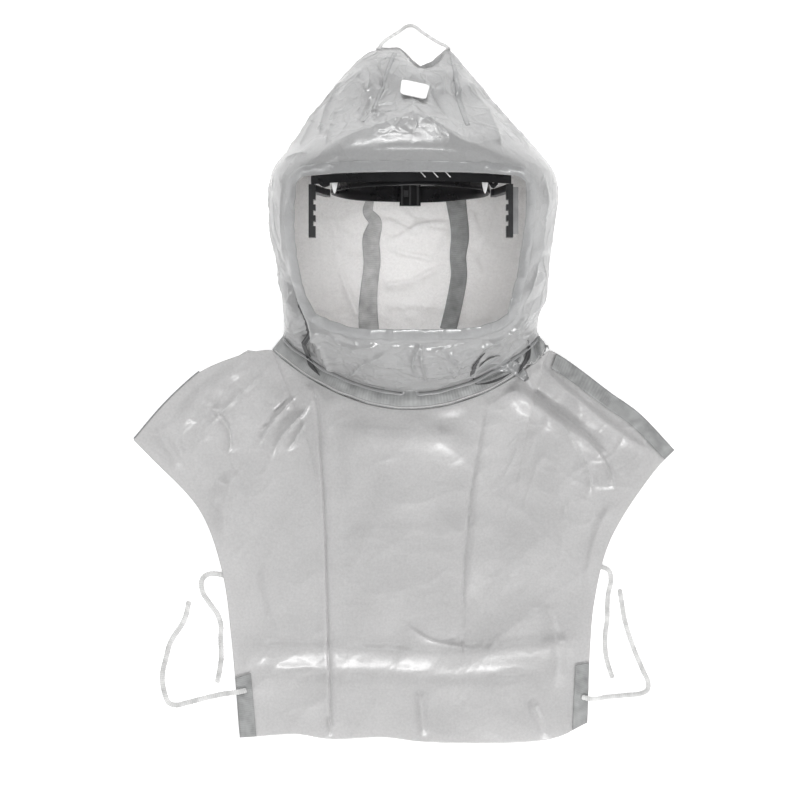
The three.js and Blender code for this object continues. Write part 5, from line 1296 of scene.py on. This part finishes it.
def buildBand(name, node, start, stop, height, waves):
    # a moulded band with rounded edges and a raised rim along both
    count = 240
    angle = np.linspace(start, stop, count)
    section = np.array([(0, 0.08), (0.35, 0.0), (0.75, 0.0), (1, 0.08), (1, 0.2), (0.72, 0.26), (0.72, 0.74), (1, 0.8),
                        (1, 0.92), (0.75, 1.0), (0.35, 1.0), (0, 0.92), (0, 0.5)])
    inset = section[:, 0] * ring["band"]
    up = section[:, 1] * height
    x = (ring["width"] / 2 - ring["band"] + inset)[None, :] * np.cos(angle)[:, None]
    z = ring["z"] + (ring["depth"] / 2 - ring["band"] + inset)[None, :] * np.sin(angle)[:, None]
    y = ring["y"] + up[None, :] + waves * np.sin(angle * 6)[:, None] * 0.5 * np.ones((1, len(up)))
    points = np.dstack([x, y, z])
    k = len(section)
    faces = gridFaces(count, k, ring=True).tolist()
    faces += [list(range(k))[::-1], [(count - 1) * k + j for j in range(k)]]
    piece = addMesh(name, points.reshape(-1, 3), faces, [blackPlastic])
    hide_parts(node)
    return piece


buildBand("browBand", "brow_band", 0.0, math.pi, ring["browHeight"], 0.3)
buildBand("napeStrap", "nape_strap", math.pi + 0.0042, 2 * math.pi - 0.0042, ring["napeHeight"], 0.6)


def roundEdges(node, width, material):
    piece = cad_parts[node]
    bevel = piece.modifiers.new("edges", "BEVEL")
    bevel.width = width / 1000
    bevel.segments = 3
    bevel.limit_method = "ANGLE"
    for slot in piece.material_slots:
        slot.material = material
    if not piece.material_slots:
        piece.data.materials.append(material)


roundEdges("size_buckle", 0.8, blackPlastic)
roundEdges("brow_frame", 0.5, blackPlastic)
roundEdges("side_bracket_left", 0.5, darkPlastic)
roundEdges("side_bracket_right", 0.5, darkPlastic)
roundEdges("crown_strap", 0.4, blackPlastic)


def addBlock(name, low, high, material, edge=0.6):
    x0, y0, z0 = low
    x1, y1, z1 = high
    points = [(x, y, z) for z in (z0, z1) for y in (y0, y1) for x in (x0, x1)]
    faces = [(0, 2, 3, 1), (4, 5, 7, 6), (0, 1, 5, 4), (1, 3, 7, 5), (3, 2, 6, 7), (2, 0, 4, 6)]
    piece = addMesh(name, points, faces, [material], smoothFaces=False)
    bevel = piece.modifiers.new("edges", "BEVEL")
    bevel.width = edge / 1000
    bevel.segments = 3
    return piece


def buildTeeth():
    # pale pegs that hang from the bar's underside
    height = 214.0
    for side, name in ((-1, "Left"), (1, "Right")):
        x, y = seenAt((334.5 if side < 0 else 485, 186), height)
        count = 18
        t = np.linspace(0, 1, count)
        radius = 3.6 * np.sqrt(np.clip(1 - (t * 1.02 - 0.02) ** 3, 0.02, 1)) * (0.55 + 0.45 * (1 - t))
        angles = np.linspace(0, 2 * math.pi, 16, endpoint=False)
        points = np.stack([x + radius[:, None] * np.cos(angles)[None, :],
                           (y + 7.5 - t * 15)[:, None] * np.ones((1, 16)),
                           height + 0.45 * radius[:, None] * np.sin(angles)[None, :]], -1)
        faces = gridFaces(count, 16, ring=True, flip=True).tolist()
        faces += [list(range(16)), [(count - 1) * 16 + k for k in range(16)][::-1]]
        addMesh("ringPeg" + name, points.reshape(-1, 3), faces, [whitePlasticAndPaintedGlint])


buildTeeth()


def buildSuspensionTrim():
    # slanted ribs on the bar made pale as a painted highlight of the shine on them, hooks beside the pegs, ribs down
    # the buckle
    ribs = {"count": 3, "first": 423.0, "apart": 12.5, "down": 174.5, "lean": 2.4, "long": 2.6, "wide": 0.6, "rise": 0.7}
    top = (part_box("brow_frame")[1][2] - middle[2]) * 1000
    for k in range(ribs["count"]):
        x, y = seenAt((ribs["first"] + ribs["apart"] * k, ribs["down"]), top)
        low = [(x + lean * ribs["lean"] + side * ribs["wide"], y - lean * ribs["long"], top - 1.2)
               for lean, side in ((-1, -1), (-1, 1), (1, 1), (1, -1))]
        points = low + [(a, b, top + ribs["rise"]) for a, b, _ in low]
        faces = [(0, 1, 2, 3), (7, 6, 5, 4), (0, 4, 5, 1), (1, 5, 6, 2), (2, 6, 7, 3), (3, 7, 4, 0)]
        # painted highlight: the bar's ribs are pale plastic standing in for the shine on black ribs
        addMesh(f"barRibGlint{k + 1}", points, faces, [whitePlasticAndPaintedGlint], smoothFaces=False)
    low, high = ((np.asarray(c) - middle) * 1000 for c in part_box("size_buckle"))
    for k, place in enumerate((0.12, 0.5, 0.86)):
        x = mix(low[0], high[0], place)
        addBlock(f"buckleRib{k + 1}", (x - 1.0, low[1] + 1.2, high[2] - 1.0), (x + 1.0, high[1] - 1.2, high[2] + 0.9),
                 darkPlastic, 0.5)
    addBlock("buckleSlide", (mix(low[0], high[0], 0.2), mix(low[1], high[1], 0.36), high[2] - 1.0),
             (mix(low[0], high[0], 0.42), mix(low[1], high[1], 0.62), high[2] + 1.3), darkPlastic, 0.5)
    for name, spots in (("Left", [(318, 181), (324, 185), (330, 183)]), ("Right", [(488, 180), (493, 186), (498, 182)])):
        line = smoothLine(np.column_stack([seenAt(spots, 209), np.full(3, 209)]), per=10)
        stripMesh("ringHook" + name, line, np.tile([0, 5.0, 0], (len(line), 1)), [blackPlastic], 2.2)
    low, high = ((np.asarray(c) - middle) * 1000 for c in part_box("side_bracket_right"))
    addBlock("bracketFlangeRight", (high[0] - 0.5, low[1] + 3, high[2] - 3.2), (high[0] + 5.4, high[1] - 3, high[2] - 1.2),
             greyPlastic, 0.5)


buildSuspensionTrim()
print("suspension made")


# Table and light
def buildStage():
    size = 12.0
    mesh = bpy.data.meshes.new("table")
    mesh.from_pydata([(-size, -size, -0.0002), (size, -size, -0.0002), (size, size, -0.0002), (-size, size, -0.0002)], [], [(0, 1, 2, 3)])
    mesh.materials.append(floorMaterial())
    table = bpy.data.objects.new("table", mesh)
    bpy.context.scene.collection.objects.link(table)
    lamps = {
        "key": {"at": (-0.5, 2.6, 1.15), "size": (1.8, 0.16), "power": 26},
        "north": {"at": (0.2, 1.7, 2.5), "size": (1.5, 0.05), "power": 13},
        "west": {"at": (-2.3, 0.3, 1.0), "size": (0.16, 1.6), "power": 8},
        "east": {"at": (2.3, 0.4, 1.0), "size": (0.16, 1.6), "power": 12},
        "south": {"at": (0.3, -2.3, 1.3), "size": (1.6, 0.14), "power": 46},
        "inside": {"at": (0.0, 0.16, 0.15), "size": (0.15, 0.12), "power": 0.07, "aim": (0.0, 0.16, 0.0), "spread": 1.7},
    }
    for name, lamp in lamps.items():
        data = bpy.data.lights.new(name, "AREA")
        data.shape = "RECTANGLE"
        data.size, data.size_y = lamp["size"]
        data.energy = lamp["power"]
        light = bpy.data.objects.new(name, data)
        light.location = lamp["at"]
        light.rotation_euler = (Vector(lamp.get("aim", (0, 0, 0))) - light.location).to_track_quat("-Z", "Y").to_euler()
        if "aim" in lamp:
            data.spread = lamp["spread"]
            light.visible_camera = light.visible_glossy = False
        bpy.context.scene.collection.objects.link(light)
    world = bpy.data.worlds.new("room")
    world.use_nodes = True
    tree = world.node_tree
    sky = tree.nodes["Background"]
    way = addNode(tree, "ShaderNodeTexCoord").outputs["Generated"]
    lean = addNode(tree, "ShaderNodeVectorMath", {0: way, 1: (0.05, 0.2, 0.98)}, operation="DOT_PRODUCT")
    tree.links.new(ramp(tree, lean.outputs["Value"], [(0.0, 0.5), (0.5, 0.55), (0.95, 1.0)]), sky.inputs["Color"])
    sky.inputs["Strength"].default_value = 0.59
    bpy.context.scene.world = world
    bpy.context.scene.view_settings.view_transform = "Standard"


buildStage()

print("scene ready")
